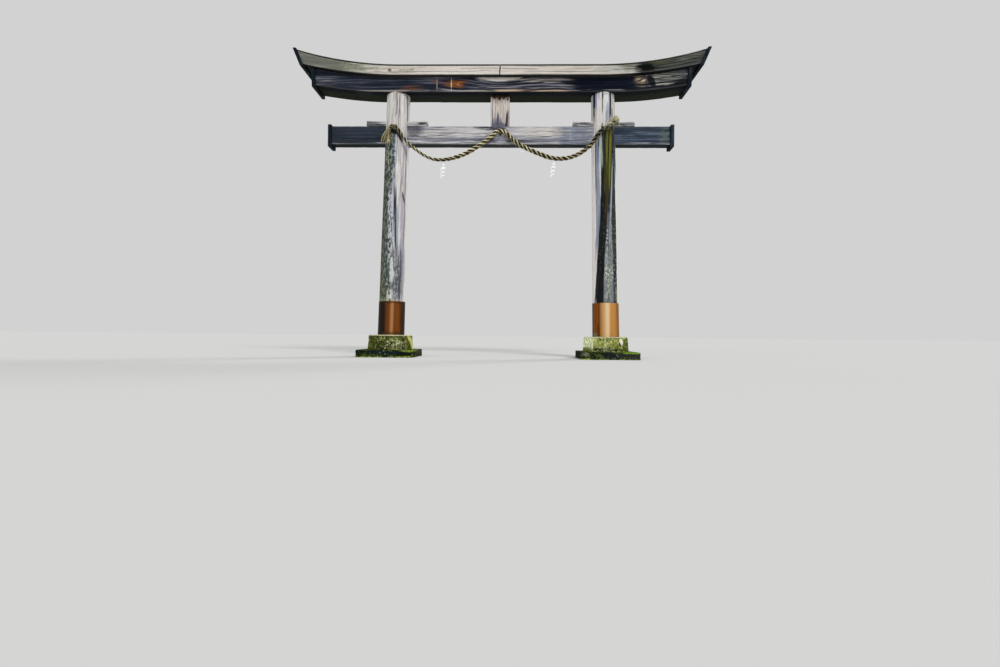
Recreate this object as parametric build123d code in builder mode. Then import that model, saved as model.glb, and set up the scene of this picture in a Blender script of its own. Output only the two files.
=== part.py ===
from build123d import *
from math import pi, radians, sqrt, tan
import os

os.makedirs("parts", exist_ok=True)

# A weathered wooden gate: two leaning round posts, a tie beam through them and a
# curved double lintel, with a straw rope and paper streamers hung on its front.
# Millimetres. X runs along the gate, Y from front to back, Z up from the ground.
# The front is at -Y, and the origin is on the ground midway between the posts.

# Footings
slab_width = 1210
slab_depth = 1120
slab_height = 160
slab_edge = 12
slab_shift_out = 15
stone_width = 960
stone_height = 310
stone_corner_cut = 200
stone_turn = 12
stone_batter = 25
stone_round = 40

# Posts, by the places of their axes
post_foot_x = 2330
post_head_x = 2216
post_foot_radius = 282
post_head_radius = 251
post_shoulder_round = 22
post_housing = 30
post_tenon_side = 200
post_tenon_height = 150
sleeve_height = 720
sleeve_wall = 3

# Tie beam and its wedges
tie_underside = 4588
tie_height = 395
tie_depth = 220
tie_reach = 1400
wedge_reach = 400
wedge_head_height = 120
wedge_tip_height = 100
wedge_tip_gap = 20

# Strut between the tie beam and the lower lintel
strut_width = 420
strut_depth = 184
strut_height = 666
strut_tenon_width = 200
strut_tenon_depth = 80
strut_tenon_height = 60

# Lower lintel, its reaches counted from the post's axis at its underside
lower_height = 323
lower_depth = 498
lower_bend_reach = 84
lower_bend_radius = 9240
lower_end_reach = 1729
lower_end_lean = 20

# Upper lintel and its cap
upper_overhang = 88
upper_height = 195
upper_bend_inset = 116
upper_under_radius = 9500
upper_top_radius = 7740
upper_end_reach = 1974
upper_end_lean = 120
upper_ridge_rise = 60
cap_thickness = 22
cap_overhang = 12
ridge_board_half_width = 70
ridge_board_thickness = 25

# Boards over the beam ends
end_board_thickness = 78
end_board_proud = 45
tie_board_below = 52
tie_board_above = 18
lower_board_below = 45
upper_board_below = 45
upper_board_above = 40

# Straw rope and what hangs from it
rope_radius = 45
tassel_drop_x = -36
tassel_drop_y = -22
tassel_drop_z = -335
tassel_half_width = 122
tassel_half_depth = 38
binding_radius = 62
binding_length = 80
tail_drop_x = -46
tail_drop_y = -25
tail_drop_z = -115
tail_top_radius = 30
tail_foot_radius = 38
peg_radius = 18
streamer_places = {"left": -1204, "right": 1139}
streamer_width = 96
streamer_panel_height = 126
streamer_panels = 3
streamer_step = 26
streamer_thickness = 2
scrap_x = 474
scrap_width = 90
scrap_height = 70

# Fits
joint_clearance = 1
sleeve_clearance = 0.5
board_clearance = 0.3
rope_clearance = 0.3

# Sizes that follow from those above
stone_top = slab_height + stone_height
tie_top = tie_underside + tie_height
lower_underside = tie_top + strut_height
lower_top = lower_underside + lower_height
lower_bend_x = post_head_x + lower_bend_reach
lower_end_x = post_head_x + lower_end_reach
upper_bend_x = post_head_x - upper_bend_inset
upper_end_x = post_head_x + upper_end_reach
upper_half_depth = lower_depth / 2 + upper_overhang
upper_top = lower_top + upper_height
post_top = lower_underside + post_housing
post_lean = (post_foot_x - post_head_x) / (lower_underside - stone_top)
post_taper = (post_foot_radius - post_head_radius) / (lower_underside - stone_top)
log_spare = post_foot_radius
tie_half_length = post_head_x + post_lean * (lower_underside - tie_underside) + tie_reach


def post_x(z):
    return post_foot_x - post_lean * (z - stone_top)


def post_radius(z):
    return post_foot_radius - post_taper * (z - stone_top)


def post_plane(z):
    """The plane square to the right post's axis where the axis passes height z."""
    return Plane((post_x(z), 0, z), x_dir=(1, 0, post_lean), z_dir=(-post_lean, 0, 1))


def climb(x, bend_x, radius):
    """How far an arc that leaves the level at bend_x has climbed at x."""
    return radius - sqrt(radius**2 - max(x - bend_x, 0) ** 2)


def lower_bottom(x):
    return lower_underside + climb(x, lower_bend_x, lower_bend_radius)


def upper_bottom(x):
    return lower_top + climb(x, upper_bend_x, upper_under_radius)


def upper_edge(x):
    return upper_top + climb(x, upper_bend_x, upper_top_radius)


# Ground slab of the right post, and its base stone, turned a little and battered

with BuildPart() as ground_slab_right:
    with BuildSketch():
        with Locations((post_foot_x + slab_shift_out, 0)):
            Rectangle(slab_width, slab_depth)
    extrude(amount=slab_height)
    chamfer(ground_slab_right.edges().group_by(Axis.Z)[-1], length=slab_edge)

with BuildPart() as base_stone_right:
    for height, inset in ((slab_height, 0), (stone_top, stone_batter)):
        with BuildSketch(Plane.XY.offset(height)) as stone_outline:
            with Locations((post_foot_x, 0)):
                stone_side = stone_width - 2 * inset
                Rectangle(stone_side, stone_side, rotation=-stone_turn)
            chamfer(stone_outline.vertices(), length=stone_corner_cut)
    loft()
    fillet(base_stone_right.edges().group_by(Axis.Z)[-1], radius=stone_round)

# The right post's log, leaning inwards, with its ends cut level

with BuildPart() as post_log_right:
    for height in (stone_top - log_spare, post_top + log_spare):
        with BuildSketch(post_plane(height)):
            Circle(post_radius(height))
    loft()
    split(bisect_by=Plane.XY.offset(stone_top), keep=Keep.TOP)
    split(bisect_by=Plane.XY.offset(post_top), keep=Keep.BOTTOM)
    fillet(post_log_right.edges().group_by(Axis.Z)[-1], radius=post_shoulder_round)

# The wedges' places: each runs from its head outside the post to a tip inside it

wedge_head_run = post_radius(tie_top) + wedge_reach
outer_head_x = post_x(tie_top) + wedge_head_run
outer_tip_x = post_x(tie_top) + wedge_tip_gap / 2
inner_tip_x = post_x(tie_top) - wedge_tip_gap / 2
inner_head_x = post_x(tie_top) - wedge_head_run
wedge_head_z = tie_top + wedge_head_height
wedge_tip_z = tie_top + wedge_tip_height

# The right post, tenoned into the lower lintel and mortised for the tie beam

with BuildPart() as pillar_right:
    add(post_log_right.part)
    with Locations((post_x(post_top), 0, post_top)):
        Box(
            post_tenon_side,
            post_tenon_side,
            post_tenon_height,
            align=(Align.CENTER, Align.CENTER, Align.MIN),
        )
    with BuildSketch(Plane.XZ):
        with BuildLine():
            Polyline(
                (inner_head_x, tie_underside),
                (inner_head_x, wedge_head_z),
                (inner_tip_x, wedge_tip_z),
                (outer_tip_x, wedge_tip_z),
                (outer_head_x, wedge_head_z),
                (outer_head_x, tie_underside),
                close=True,
            )
        make_face()
    extrude(amount=tie_depth / 2 + joint_clearance, both=True, mode=Mode.SUBTRACT)

# Copper sleeve around the right post's foot

with BuildPart() as copper_sleeve_right:
    for height in (stone_top - log_spare, stone_top + sleeve_height):
        with BuildSketch(post_plane(height)):
            Circle(post_radius(height) + sleeve_clearance + sleeve_wall)
    loft()
    split(bisect_by=Plane.XY.offset(stone_top), keep=Keep.TOP)
    for height in (stone_top - log_spare, stone_top + sleeve_height + log_spare):
        with BuildSketch(post_plane(height)):
            Circle(post_radius(height) + sleeve_clearance)
    loft(mode=Mode.SUBTRACT)

# Wedges on the right post, outside it and inside it

with BuildPart() as wedge_right_outer:
    with BuildSketch(Plane.XZ):
        with BuildLine():
            Polyline(
                (outer_tip_x, tie_top),
                (outer_tip_x, wedge_tip_z),
                (outer_head_x, wedge_head_z),
                (outer_head_x, tie_top),
                close=True,
            )
        make_face()
    extrude(amount=tie_depth / 2, both=True)

with BuildPart() as wedge_right_inner:
    with BuildSketch(Plane.XZ):
        with BuildLine():
            Polyline(
                (inner_tip_x, tie_top),
                (inner_tip_x, wedge_tip_z),
                (inner_head_x, wedge_head_z),
                (inner_head_x, tie_top),
                close=True,
            )
        make_face()
    extrude(amount=tie_depth / 2, both=True)

# Tie beam, mortised for the strut's foot

with BuildPart() as tie_beam:
    with BuildSketch(Plane.XZ):
        with Locations((0, tie_underside + tie_height / 2)):
            Rectangle(2 * tie_half_length, tie_height)
    extrude(amount=tie_depth / 2, both=True)
    with BuildSketch(Plane.XY.offset(tie_top)):
        Rectangle(
            strut_tenon_width + 2 * joint_clearance,
            strut_tenon_depth + 2 * joint_clearance,
        )
    extrude(amount=-strut_tenon_height - joint_clearance, mode=Mode.SUBTRACT)

# Strut, with a tenon at each end

with BuildPart() as centre_strut:
    with BuildSketch(Plane.XY.offset(tie_top)):
        Rectangle(strut_width, strut_depth)
    extrude(amount=lower_underside - tie_top)
    with BuildSketch(Plane.XY.offset(tie_top - strut_tenon_height)):
        Rectangle(strut_tenon_width, strut_tenon_depth)
    extrude(amount=lower_underside - tie_top + 2 * strut_tenon_height)

# Right half of the lower lintel's outline, mirrored, with its housings and mortise

with BuildPart() as lower_lintel:
    end_top_x = lower_end_x + lower_end_lean
    with BuildSketch(Plane.XZ):
        with BuildLine():
            Line((0, lower_top), (0, lower_underside))
            Line((0, lower_underside), (lower_bend_x, lower_underside))
            TangentArc(
                (lower_bend_x, lower_underside),
                (lower_end_x, lower_bottom(lower_end_x)),
                tangent=(1, 0),
            )
            Line(
                (lower_end_x, lower_bottom(lower_end_x)),
                (end_top_x, upper_bottom(end_top_x)),
            )
            TangentArc(
                (upper_bend_x, lower_top),
                (end_top_x, upper_bottom(end_top_x)),
                tangent=(1, 0),
            )
            Line((upper_bend_x, lower_top), (0, lower_top))
        make_face()
        mirror(about=Plane.YZ)
    extrude(amount=lower_depth / 2, both=True)
    # Each post's head sits in a round housing, and its tenon goes on up from there
    for side in (-1, 1):
        with BuildSketch(Plane.XY.offset(lower_underside)):
            with Locations((side * post_x(post_top), 0)):
                Circle(post_radius(lower_underside) + joint_clearance)
        extrude(amount=post_housing, mode=Mode.SUBTRACT)
        with BuildSketch(Plane.XY.offset(post_top)):
            with Locations((side * post_x(post_top), 0)):
                Rectangle(
                    post_tenon_side + 2 * joint_clearance,
                    post_tenon_side + 2 * joint_clearance,
                )
        extrude(amount=post_tenon_height + joint_clearance, mode=Mode.SUBTRACT)
    with BuildSketch(Plane.XY.offset(lower_underside)):
        Rectangle(
            strut_tenon_width + 2 * joint_clearance,
            strut_tenon_depth + 2 * joint_clearance,
        )
    extrude(amount=strut_tenon_height + joint_clearance, mode=Mode.SUBTRACT)

# Right half of the upper lintel, its top sloping up from both faces to a ridge

upper_end_top_x = upper_end_x + upper_end_lean

with BuildPart() as upper_lintel_right:
    for y, lift in (
        (-upper_half_depth, 0),
        (0, upper_ridge_rise),
        (upper_half_depth, 0),
    ):
        with BuildSketch(Plane.XZ.offset(-y)):
            with BuildLine():
                Line((0, upper_top + lift), (0, lower_top))
                Line((0, lower_top), (upper_bend_x, lower_top))
                TangentArc(
                    (upper_bend_x, lower_top),
                    (upper_end_x, upper_bottom(upper_end_x)),
                    tangent=(1, 0),
                )
                Line(
                    (upper_end_x, upper_bottom(upper_end_x)),
                    (upper_end_top_x, upper_edge(upper_end_top_x) + lift),
                )
                TangentArc(
                    (upper_bend_x, upper_top + lift),
                    (upper_end_top_x, upper_edge(upper_end_top_x) + lift),
                    tangent=(1, 0),
                )
                Line((upper_bend_x, upper_top + lift), (0, upper_top + lift))
            make_face()
    loft(ruled=True)

# Cap boards on the right half's two slopes, lapping over the lintel's faces

cap_half_depth = upper_half_depth + cap_overhang
cap_edge_drop = upper_ridge_rise * cap_overhang / upper_half_depth
end_height = upper_edge(upper_end_top_x) - upper_bottom(upper_end_x)
end_lean = upper_end_lean / end_height
end_slope = (upper_end_top_x - upper_bend_x) / sqrt(
    upper_top_radius**2 - (upper_end_top_x - upper_bend_x) ** 2
)


def cap_end(lift):
    """Where a line lifted off the lintel's edge meets the plane of its leaning end."""
    x = upper_end_top_x + end_lean * lift / (1 - end_lean * end_slope)
    return (x, upper_edge(x) + lift)


def cap_outline(low, high):
    """The side view of a cap board between two heights above the lintel's edge."""
    Line((0, upper_top + high), (0, upper_top + low))
    Line((0, upper_top + low), (upper_bend_x, upper_top + low))
    TangentArc((upper_bend_x, upper_top + low), cap_end(low), tangent=(1, 0))
    Line(cap_end(low), cap_end(high))
    TangentArc((upper_bend_x, upper_top + high), cap_end(high), tangent=(1, 0))
    Line((upper_bend_x, upper_top + high), (0, upper_top + high))


with BuildPart() as cap_board_right_front:
    for y, lift in ((-cap_half_depth, -cap_edge_drop), (0, upper_ridge_rise)):
        with BuildSketch(Plane.XZ.offset(-y)):
            with BuildLine():
                cap_outline(lift, lift + cap_thickness)
            make_face()
    loft(ruled=True)

# Ridge board along the right half, over the joint between the two slopes

ridge_board_drop = upper_ridge_rise * ridge_board_half_width / upper_half_depth
ridge_seat = upper_ridge_rise + cap_thickness + board_clearance

with BuildPart() as ridge_board_right:
    for y, low in (
        (-ridge_board_half_width, ridge_seat - ridge_board_drop),
        (0, ridge_seat),
        (ridge_board_half_width, ridge_seat - ridge_board_drop),
    ):
        with BuildSketch(Plane.XZ.offset(-y)):
            with BuildLine():
                cap_outline(low, ridge_seat + ridge_board_thickness)
            make_face()
    loft(ruled=True)

# Boards over the right ends of the three beams, leaning as the ends lean


def end_board(foot, head, below, above):
    """The side view of a board against the end line from foot to head, made longer."""
    lean = (head[0] - foot[0]) / (head[1] - foot[1])
    low = (foot[0] - lean * below, foot[1] - below)
    high = (head[0] + lean * above, head[1] + above)
    Polyline(
        low,
        high,
        (high[0] + end_board_thickness, high[1]),
        (low[0] + end_board_thickness, low[1]),
        close=True,
    )


with BuildPart() as tie_end_board_right:
    with BuildSketch(Plane.XZ):
        with BuildLine():
            end_board(
                (tie_half_length, tie_underside),
                (tie_half_length, tie_top),
                tie_board_below,
                tie_board_above,
            )
        make_face()
    extrude(amount=tie_depth / 2 + end_board_proud, both=True)

with BuildPart() as lower_end_board_right:
    with BuildSketch(Plane.XZ):
        with BuildLine():
            end_board(
                (lower_end_x, lower_bottom(lower_end_x)),
                (end_top_x, upper_bottom(end_top_x)),
                lower_board_below,
                -joint_clearance,
            )
        make_face()
    extrude(amount=lower_depth / 2 + end_board_proud, both=True)

with BuildPart() as upper_end_board_right:
    with BuildSketch(Plane.XZ):
        with BuildLine():
            end_board(
                (upper_end_x, upper_bottom(upper_end_x)),
                (upper_end_top_x, upper_edge(upper_end_top_x)),
                upper_board_below,
                upper_board_above,
            )
        make_face()
    extrude(amount=upper_half_depth + end_board_proud, both=True)

# Straw rope: straight runs joined by tangent arcs, from the tassel to the binding,
# its heights counted from the tie beam's underside

rope_route = [
    (-2374, -267, 237),
    (-2325, -291, 315),
    (-2215, -306, 324),
    (-2127, -284, 205),
    (-1967, -279, -42),
    (-1503, -250, -373),
    (-1147, -227, -388),
    (-720, -201, -248),
    (-350, -178, 8),
    (-161, -166, 168),
    (-67, -160, 267),
    (70, -161, 267),
    (205, -169, 158),
    (383, -180, -24),
    (796, -206, -221),
    (1142, -227, -353),
    (1449, -246, -351),
    (1728, -264, -245),
    (1970, -279, -35),
    (2084, -268, 183),
    (2200, -306, 262),
    (2318, -294, 340),
    (2408, -261, 441),
]
points = [Vector(x, y, tie_underside + z) for x, y, z in rope_route]
runs = [after - before for before, after in zip(points, points[1:])]
turns = [before.get_angle(after) for before, after in zip(runs, runs[1:])]
arc_radii = [
    0.45 * min(before.length, after.length) / tan(radians(turn) / 2)
    for before, after, turn in zip(runs, runs[1:], turns)
]

with BuildPart() as straw_rope:
    with BuildLine() as rope_line:
        FilletPolyline(*points, radius=arc_radii)
    rope_length = sum(edge.length for edge in rope_line.edges())
    with BuildSketch(Plane(points[0], z_dir=runs[0])):
        Circle(rope_radius)
    sweep(path=rope_line.wires()[0])

rope_wire = rope_line.wires()[0]
rope_places = [rope_wire.position_at(step / 2000) for step in range(2001)]
full_volume = pi * rope_radius**2 * rope_length
print("rope length", round(rope_length), "arc radii", [round(r) for r in arc_radii])
print("rope volume over section by length", straw_rope.part.volume / full_volume)

# Frayed tassel at the rope's left end

tassel_foot = points[0] + Vector(tassel_drop_x, tassel_drop_y, tassel_drop_z)

with BuildPart() as rope_tassel_left:
    with BuildSketch(Plane(points[0], x_dir=(1, 0, 0), z_dir=-runs[0])):
        Circle(rope_radius)
    with BuildSketch(Plane(tassel_foot, x_dir=(1, 0, 0), z_dir=(0, 0, -1))):
        Ellipse(tassel_half_width, tassel_half_depth)
    loft()

# Binding at the rope's right end, and the frayed tail that hangs from it

binding_way = runs[-1].normalized()
binding_middle = points[-1] + binding_way * (binding_length / 2)
tail_way = (Vector(0, 0, -1) + binding_way * binding_way.Z).normalized()
tail_top = binding_middle + tail_way * binding_radius
tail_foot = tail_top + Vector(tail_drop_x, tail_drop_y, tail_drop_z)

with BuildPart() as rope_binding_right:
    with BuildSketch(Plane(points[-1], z_dir=binding_way)):
        Circle(binding_radius)
    extrude(amount=binding_length)

with BuildPart() as rope_tail_right:
    with BuildSketch(Plane(tail_top, x_dir=(0, 1, 0), z_dir=tail_way)):
        Circle(tail_top_radius)
    with BuildSketch(Plane(tail_foot, x_dir=(0, 1, 0), z_dir=(0, 0, -1))):
        Circle(tail_foot_radius)
    loft()

# Peg in the tie beam's front, under the rope's crest between the posts

middle_places = [place for place in rope_places if abs(place.X) < post_head_x / 2]
crest = max(middle_places, key=lambda place: place.Z)
peg_z = crest.Z - rope_radius - rope_clearance - peg_radius

with BuildPart() as rope_peg:
    with BuildSketch(Plane.XZ.offset(tie_depth / 2)):
        with Locations((crest.X, peg_z)):
            Circle(peg_radius)
    extrude(amount=rope_radius - crest.Y - tie_depth / 2)

# Back boards of the cap, mirrored from the front ones

with BuildPart() as cap_board_right_back:
    mirror(cap_board_right_front.part, about=Plane.XZ)

# Folded paper streamers and a paper scrap, hanging from the rope's underside


def rope_under(x, width):
    """The lowest height of the rope's surface over a strip at x, and its depth there."""
    undersides = []
    for place in rope_places:
        aside = max(abs(place.X - x) - width / 2, 0)
        if aside < rope_radius:
            undersides.append((place.Z - sqrt(rope_radius**2 - aside**2), place.Y))
    return min(undersides)


streamers = {}
for side, streamer_x in streamer_places.items():
    rope_underside, hang_y = rope_under(streamer_x, streamer_width + streamer_step)
    streamer_top = rope_underside - rope_clearance
    with BuildPart() as streamer:
        with BuildSketch(Plane.XZ.offset(-hang_y)):
            for panel in range(streamer_panels):
                shift = streamer_step / 2 * (-1) ** panel
                panel_z = streamer_top - (panel + 0.5) * streamer_panel_height
                with Locations((streamer_x + shift, panel_z)):
                    Rectangle(streamer_width, streamer_panel_height)
        extrude(amount=streamer_thickness / 2, both=True)
    streamers[f"paper_streamer_{side}"] = streamer

rope_underside, hang_y = rope_under(scrap_x, scrap_width)

with BuildPart() as paper_scrap:
    with BuildSketch(Plane.XZ.offset(-hang_y)):
        with Locations((scrap_x, rope_underside - rope_clearance - scrap_height / 2)):
            Rectangle(scrap_width, scrap_height)
    extrude(amount=streamer_thickness / 2, both=True)

# The left half is the right half's mirror image

right_half = {
    "ground_slab_{}": ground_slab_right,
    "base_stone_{}": base_stone_right,
    "pillar_{}": pillar_right,
    "copper_sleeve_{}": copper_sleeve_right,
    "wedge_{}_outer": wedge_right_outer,
    "wedge_{}_inner": wedge_right_inner,
    "upper_lintel_{}": upper_lintel_right,
    "cap_board_{}_front": cap_board_right_front,
    "cap_board_{}_back": cap_board_right_back,
    "ridge_board_{}": ridge_board_right,
    "tie_end_board_{}": tie_end_board_right,
    "lower_end_board_{}": lower_end_board_right,
    "upper_end_board_{}": upper_end_board_right,
}
pieces = {
    "tie_beam": tie_beam,
    "centre_strut": centre_strut,
    "lower_lintel": lower_lintel,
    "straw_rope": straw_rope,
    "rope_tassel_left": rope_tassel_left,
    "rope_binding_right": rope_binding_right,
    "rope_tail_right": rope_tail_right,
    "rope_peg": rope_peg,
    "paper_scrap": paper_scrap,
    **streamers,
}
for name, right_piece in right_half.items():
    with BuildPart() as left_piece:
        mirror(right_piece.part, about=Plane.YZ)
    pieces[name.format("right")] = right_piece
    pieces[name.format("left")] = left_piece

for name, piece in pieces.items():
    piece.part.label = name
    export_step(piece.part, f"parts/{name}.step")
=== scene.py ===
from math import acos, copysign, cos, exp, pi, radians, sin, sqrt
import bmesh
import bpy
import numpy as np
from mathutils import Matrix, Vector


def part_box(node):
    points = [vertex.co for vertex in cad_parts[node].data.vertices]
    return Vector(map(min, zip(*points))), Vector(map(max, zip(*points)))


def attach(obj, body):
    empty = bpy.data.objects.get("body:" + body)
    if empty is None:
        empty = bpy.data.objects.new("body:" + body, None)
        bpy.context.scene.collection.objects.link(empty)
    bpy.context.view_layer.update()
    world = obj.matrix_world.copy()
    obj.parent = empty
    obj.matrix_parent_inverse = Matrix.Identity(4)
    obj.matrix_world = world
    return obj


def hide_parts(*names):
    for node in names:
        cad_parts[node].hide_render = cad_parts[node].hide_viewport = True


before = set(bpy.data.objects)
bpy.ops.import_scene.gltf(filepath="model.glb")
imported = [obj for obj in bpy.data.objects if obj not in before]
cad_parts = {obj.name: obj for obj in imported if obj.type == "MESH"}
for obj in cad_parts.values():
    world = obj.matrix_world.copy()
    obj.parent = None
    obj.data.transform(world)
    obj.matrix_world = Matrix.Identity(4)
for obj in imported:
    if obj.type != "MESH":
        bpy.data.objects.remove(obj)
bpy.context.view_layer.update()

print("frame loaded,", len(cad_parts), "nodes")

# The camera stands in front of the gate, a little right of its middle, and looks level
cameraView = {
    "place": (0.2673, -10.5752, 0.4873),
    "yaw": 0.0211,      # turned to the left, radians
    "pitch": 0.0032,    # looking up
    "roll": 0.0099,     # tipped to the left, so the gate seems turned clockwise
    "lens": 17.546,
    "sensor": 36.0,
    "farthest": 200,
}


def addObject(name, data):
    thing = bpy.data.objects.new(name, data)
    bpy.context.collection.objects.link(thing)
    return thing


def makeCamera(view):
    data = bpy.data.cameras.new("photoCamera")
    data.sensor_fit = "HORIZONTAL"
    data.sensor_width = view["sensor"]
    data.lens = view["lens"]
    data.clip_end = view["farthest"]
    camera = addObject("photoCamera", data)
    yaw, pitch, roll = view["yaw"], view["pitch"], view["roll"]
    forward = Vector((-sin(yaw) * cos(pitch), cos(yaw) * cos(pitch), sin(pitch)))
    level = Vector((cos(yaw), sin(yaw), 0))
    upright = level.cross(forward)
    right = level * cos(roll) + upright * sin(roll)
    up = upright * cos(roll) - level * sin(roll)
    turn = Matrix((right, up, -forward)).transposed()
    camera.matrix_world = Matrix.Translation(view["place"]) @ turn.to_4x4()
    bpy.context.scene.camera = camera


makeCamera(cameraView)
bpy.context.scene.view_settings.view_transform = "Standard"
print("camera placed")

# Large odd numbers that stir the lattice noise, and the 32 bits that it keeps
latticeSteps = (374761393, 668265263, 1440662683)
seedStep, stirStep, allBits = 974634777, 1274126177, 0xFFFFFFFF


# Smooth lattice noise between -1 and 1, the same on every run
def speckle(x, y, z, seed):
    places = np.broadcast_arrays(x, y, z)
    cells = [np.floor(v).astype(np.int64) for v in places]
    parts = [v - c for v, c in zip(places, cells)]
    parts = [p * p * (3 - 2 * p) for p in parts]
    total = np.zeros(places[0].shape)
    for corner in np.ndindex(2, 2, 2):
        mix, share = seed * seedStep, 1.0
        for cell, part, step, far in zip(cells, parts, latticeSteps, corner):
            mix = mix + (cell + far) * step
            share = share * (part if far else 1 - part)
        mix = mix & allBits
        mix = ((mix ^ (mix >> 13)) * stirStep) & allBits
        total += (((mix ^ (mix >> 16)) & 0xFFFF) / 32767.5 - 1) * share
    return total


def layered(x, y, z, seed, octaves=3):
    total, size = 0.0, 1.0
    for octave in range(octaves):
        total = total + size * speckle(x / size, y / size, z / size, seed + 17 * octave)
        size *= 0.5
    return total / (2 - 2 * size)


def unit(vectors):
    return vectors / np.linalg.norm(vectors, axis=-1, keepdims=True)


# Way from one place round a closed line to another, the shorter way
def roundGap(here, there, total):
    return (here - there + total / 2) % total - total / 2


# Mesh of a piece, from its points and faces, with values kept on the points
def makePiece(name, points, faces, values, sharp=40):
    mesh = bpy.data.meshes.new(name)
    mesh.from_pydata([tuple(p) for p in points], [], faces)
    mesh.update()
    form = bmesh.new()
    form.from_mesh(mesh)
    bmesh.ops.recalc_face_normals(form, faces=form.faces)
    form.to_mesh(mesh)
    form.free()
    for key, numbers in values.items():
        layer = mesh.attributes.new(key, "FLOAT", "POINT")
        layer.data.foreach_set("value", np.asarray(numbers, np.float32).ravel())
    mesh.polygons.foreach_set("use_smooth", [True] * len(mesh.polygons))
    mesh.set_sharp_from_angle(angle=radians(sharp))
    return addObject(name, mesh)


def settle(piece, node, material):
    piece.data.materials.append(material)
    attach(piece, "root")
    if node:
        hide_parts(node)
    return piece


def ringFaces(rows, columns):
    faces = []
    for i in range(rows - 1):
        a, b = i * columns, (i + 1) * columns
        for j in range(columns):
            k = (j + 1) % columns
            faces.append((a + j, a + k, b + k, b + j))
    return faces


# Closed skin over rings of points: its points, faces and values, each end drawn in to a middle point
def closedSkin(rings, values, steps=(0.86, 0.6, 0.3), relief=0.0, seed=3):
    rows, columns = rings.shape[:2]
    faces = ringFaces(rows, columns)
    points = [rings.reshape(-1, 3)]
    values = {key: [numbers.reshape(-1)] for key, numbers in values.items()}
    count = rows * columns
    for end, inward in ((0, 1), (rows - 1, -1)):
        centre = rings[end].mean(axis=0)
        way = unit(rings[end + inward].mean(axis=0) - centre)
        before = end * columns
        for step in steps:
            ring = centre + (rings[end] - centre) * step
            dip = relief * (0.5 + 0.5 * speckle(*(ring.T * 30), seed))
            points.append(ring + way * dip[:, None])
            for numbers in values.values():
                numbers.append(numbers[0][end * columns:(end + 1) * columns] * step ** 4)
            for j in range(columns):
                k = (j + 1) % columns
                faces.append((before + j, before + k, count + k, count + j))
            before, count = count, count + columns
        points.append(centre[None] + way * relief * 0.5)
        for numbers in values.values():
            numbers.append(np.zeros(1))
        faces += [(before + j, before + (j + 1) % columns, count) for j in range(columns)]
        count += 1
    return np.concatenate(points), faces, {key: np.concatenate(numbers) for key, numbers in values.items()}


def joinSkins(skins):
    points, faces, values, count = [], [], {}, 0
    for ownPoints, ownFaces, ownValues in skins:
        points.append(ownPoints)
        faces += [tuple(index + count for index in face) for face in ownFaces]
        for key, numbers in ownValues.items():
            values.setdefault(key, []).append(numbers)
        count += len(ownPoints)
    return np.concatenate(points), faces, {key: np.concatenate(numbers) for key, numbers in values.items()}


# Rings of points round a bent line, with a size for each ring and angle
def tubeRings(line, outward, sizes):
    tangent = unit(np.gradient(line, axis=0))
    outward = unit(outward - tangent * np.sum(outward * tangent, axis=1)[:, None])
    across = np.cross(tangent, outward)
    angles = 2 * pi * np.arange(sizes.shape[1]) / sizes.shape[1]
    cosines, sines = np.cos(angles)[:, None], np.sin(angles)[:, None]
    return line[:, None] + (outward[:, None] * cosines + across[:, None] * sines) * sizes[..., None]


# Outline of a sawn timber's section: finely stepped points, outward ways, distance round
def sectionRing(corners, radius):
    corners = [np.array(corner, float) for corner in corners]
    after = corners[1:] + corners[:1]
    turn = copysign(1, sum(a[0] * b[1] - a[1] * b[0] for a, b in zip(corners, after)))
    stops = []
    for last, corner, following in zip(corners[-1:] + corners[:-1], corners, after):
        back, ahead = unit(last - corner), unit(following - corner)
        half = acos(np.clip(back @ ahead, -1, 1)) / 2
        middle = corner + unit(back + ahead) * radius / sin(half)
        for share in np.linspace(0, 1, 7):
            way = np.array((-back[1], back[0])) * (1 - share) + np.array((ahead[1], -ahead[0])) * share
            way = unit(turn * way)
            stops.append((middle + way * radius, way, 1.0 if 0 < share < 1 else 0.6))
    spots, ways, bends = [], [], []
    for (spot, way, bend), (nextSpot, nextWay, nextBend) in zip(stops, stops[1:] + stops[:1]):
        reach = np.linalg.norm(nextSpot - spot)
        steps = max(1, int(reach / 0.002))
        for k in range(steps):
            share = k / steps
            spots.append(spot + (nextSpot - spot) * share)
            ways.append(way * (1 - share) + nextWay * share)
            near = min(share, 1 - share) * reach
            rounded = bend * (1 - share) + nextBend * share
            bends.append(rounded if steps < 4 else 0.6 * exp(-near / 0.012))
    spots, ways = np.array(spots), unit(np.array(ways))
    gaps = np.linalg.norm(np.roll(spots, -1, axis=0) - spots, axis=1)
    around = np.concatenate([[0], np.cumsum(gaps)[:-1]])
    return {"around": around, "length": gaps.sum(), "spots": spots, "ways": ways, "bends": np.array(bends)}


def boxRing(left, right, low, high, radius):
    return sectionRing([(left, low), (left, high), (right, high), (right, low)], radius)


def roundRing(radius, steps=720):
    angles = np.arange(steps) * 2 * pi / steps
    ways = np.stack([np.sin(angles), -np.cos(angles)], axis=1)
    return {"around": angles * radius, "length": 2 * pi * radius, "spots": ways * radius,
            "ways": ways, "bends": np.zeros(steps)}


# A ring's points, outward ways and bends at given distances round it
def readRing(ring, where):
    stops = np.append(ring["around"], ring["length"])
    columns = (*ring["spots"].T, *ring["ways"].T, ring["bends"])
    return [np.interp(where, stops, np.append(column, column[0])) for column in columns]


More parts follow.
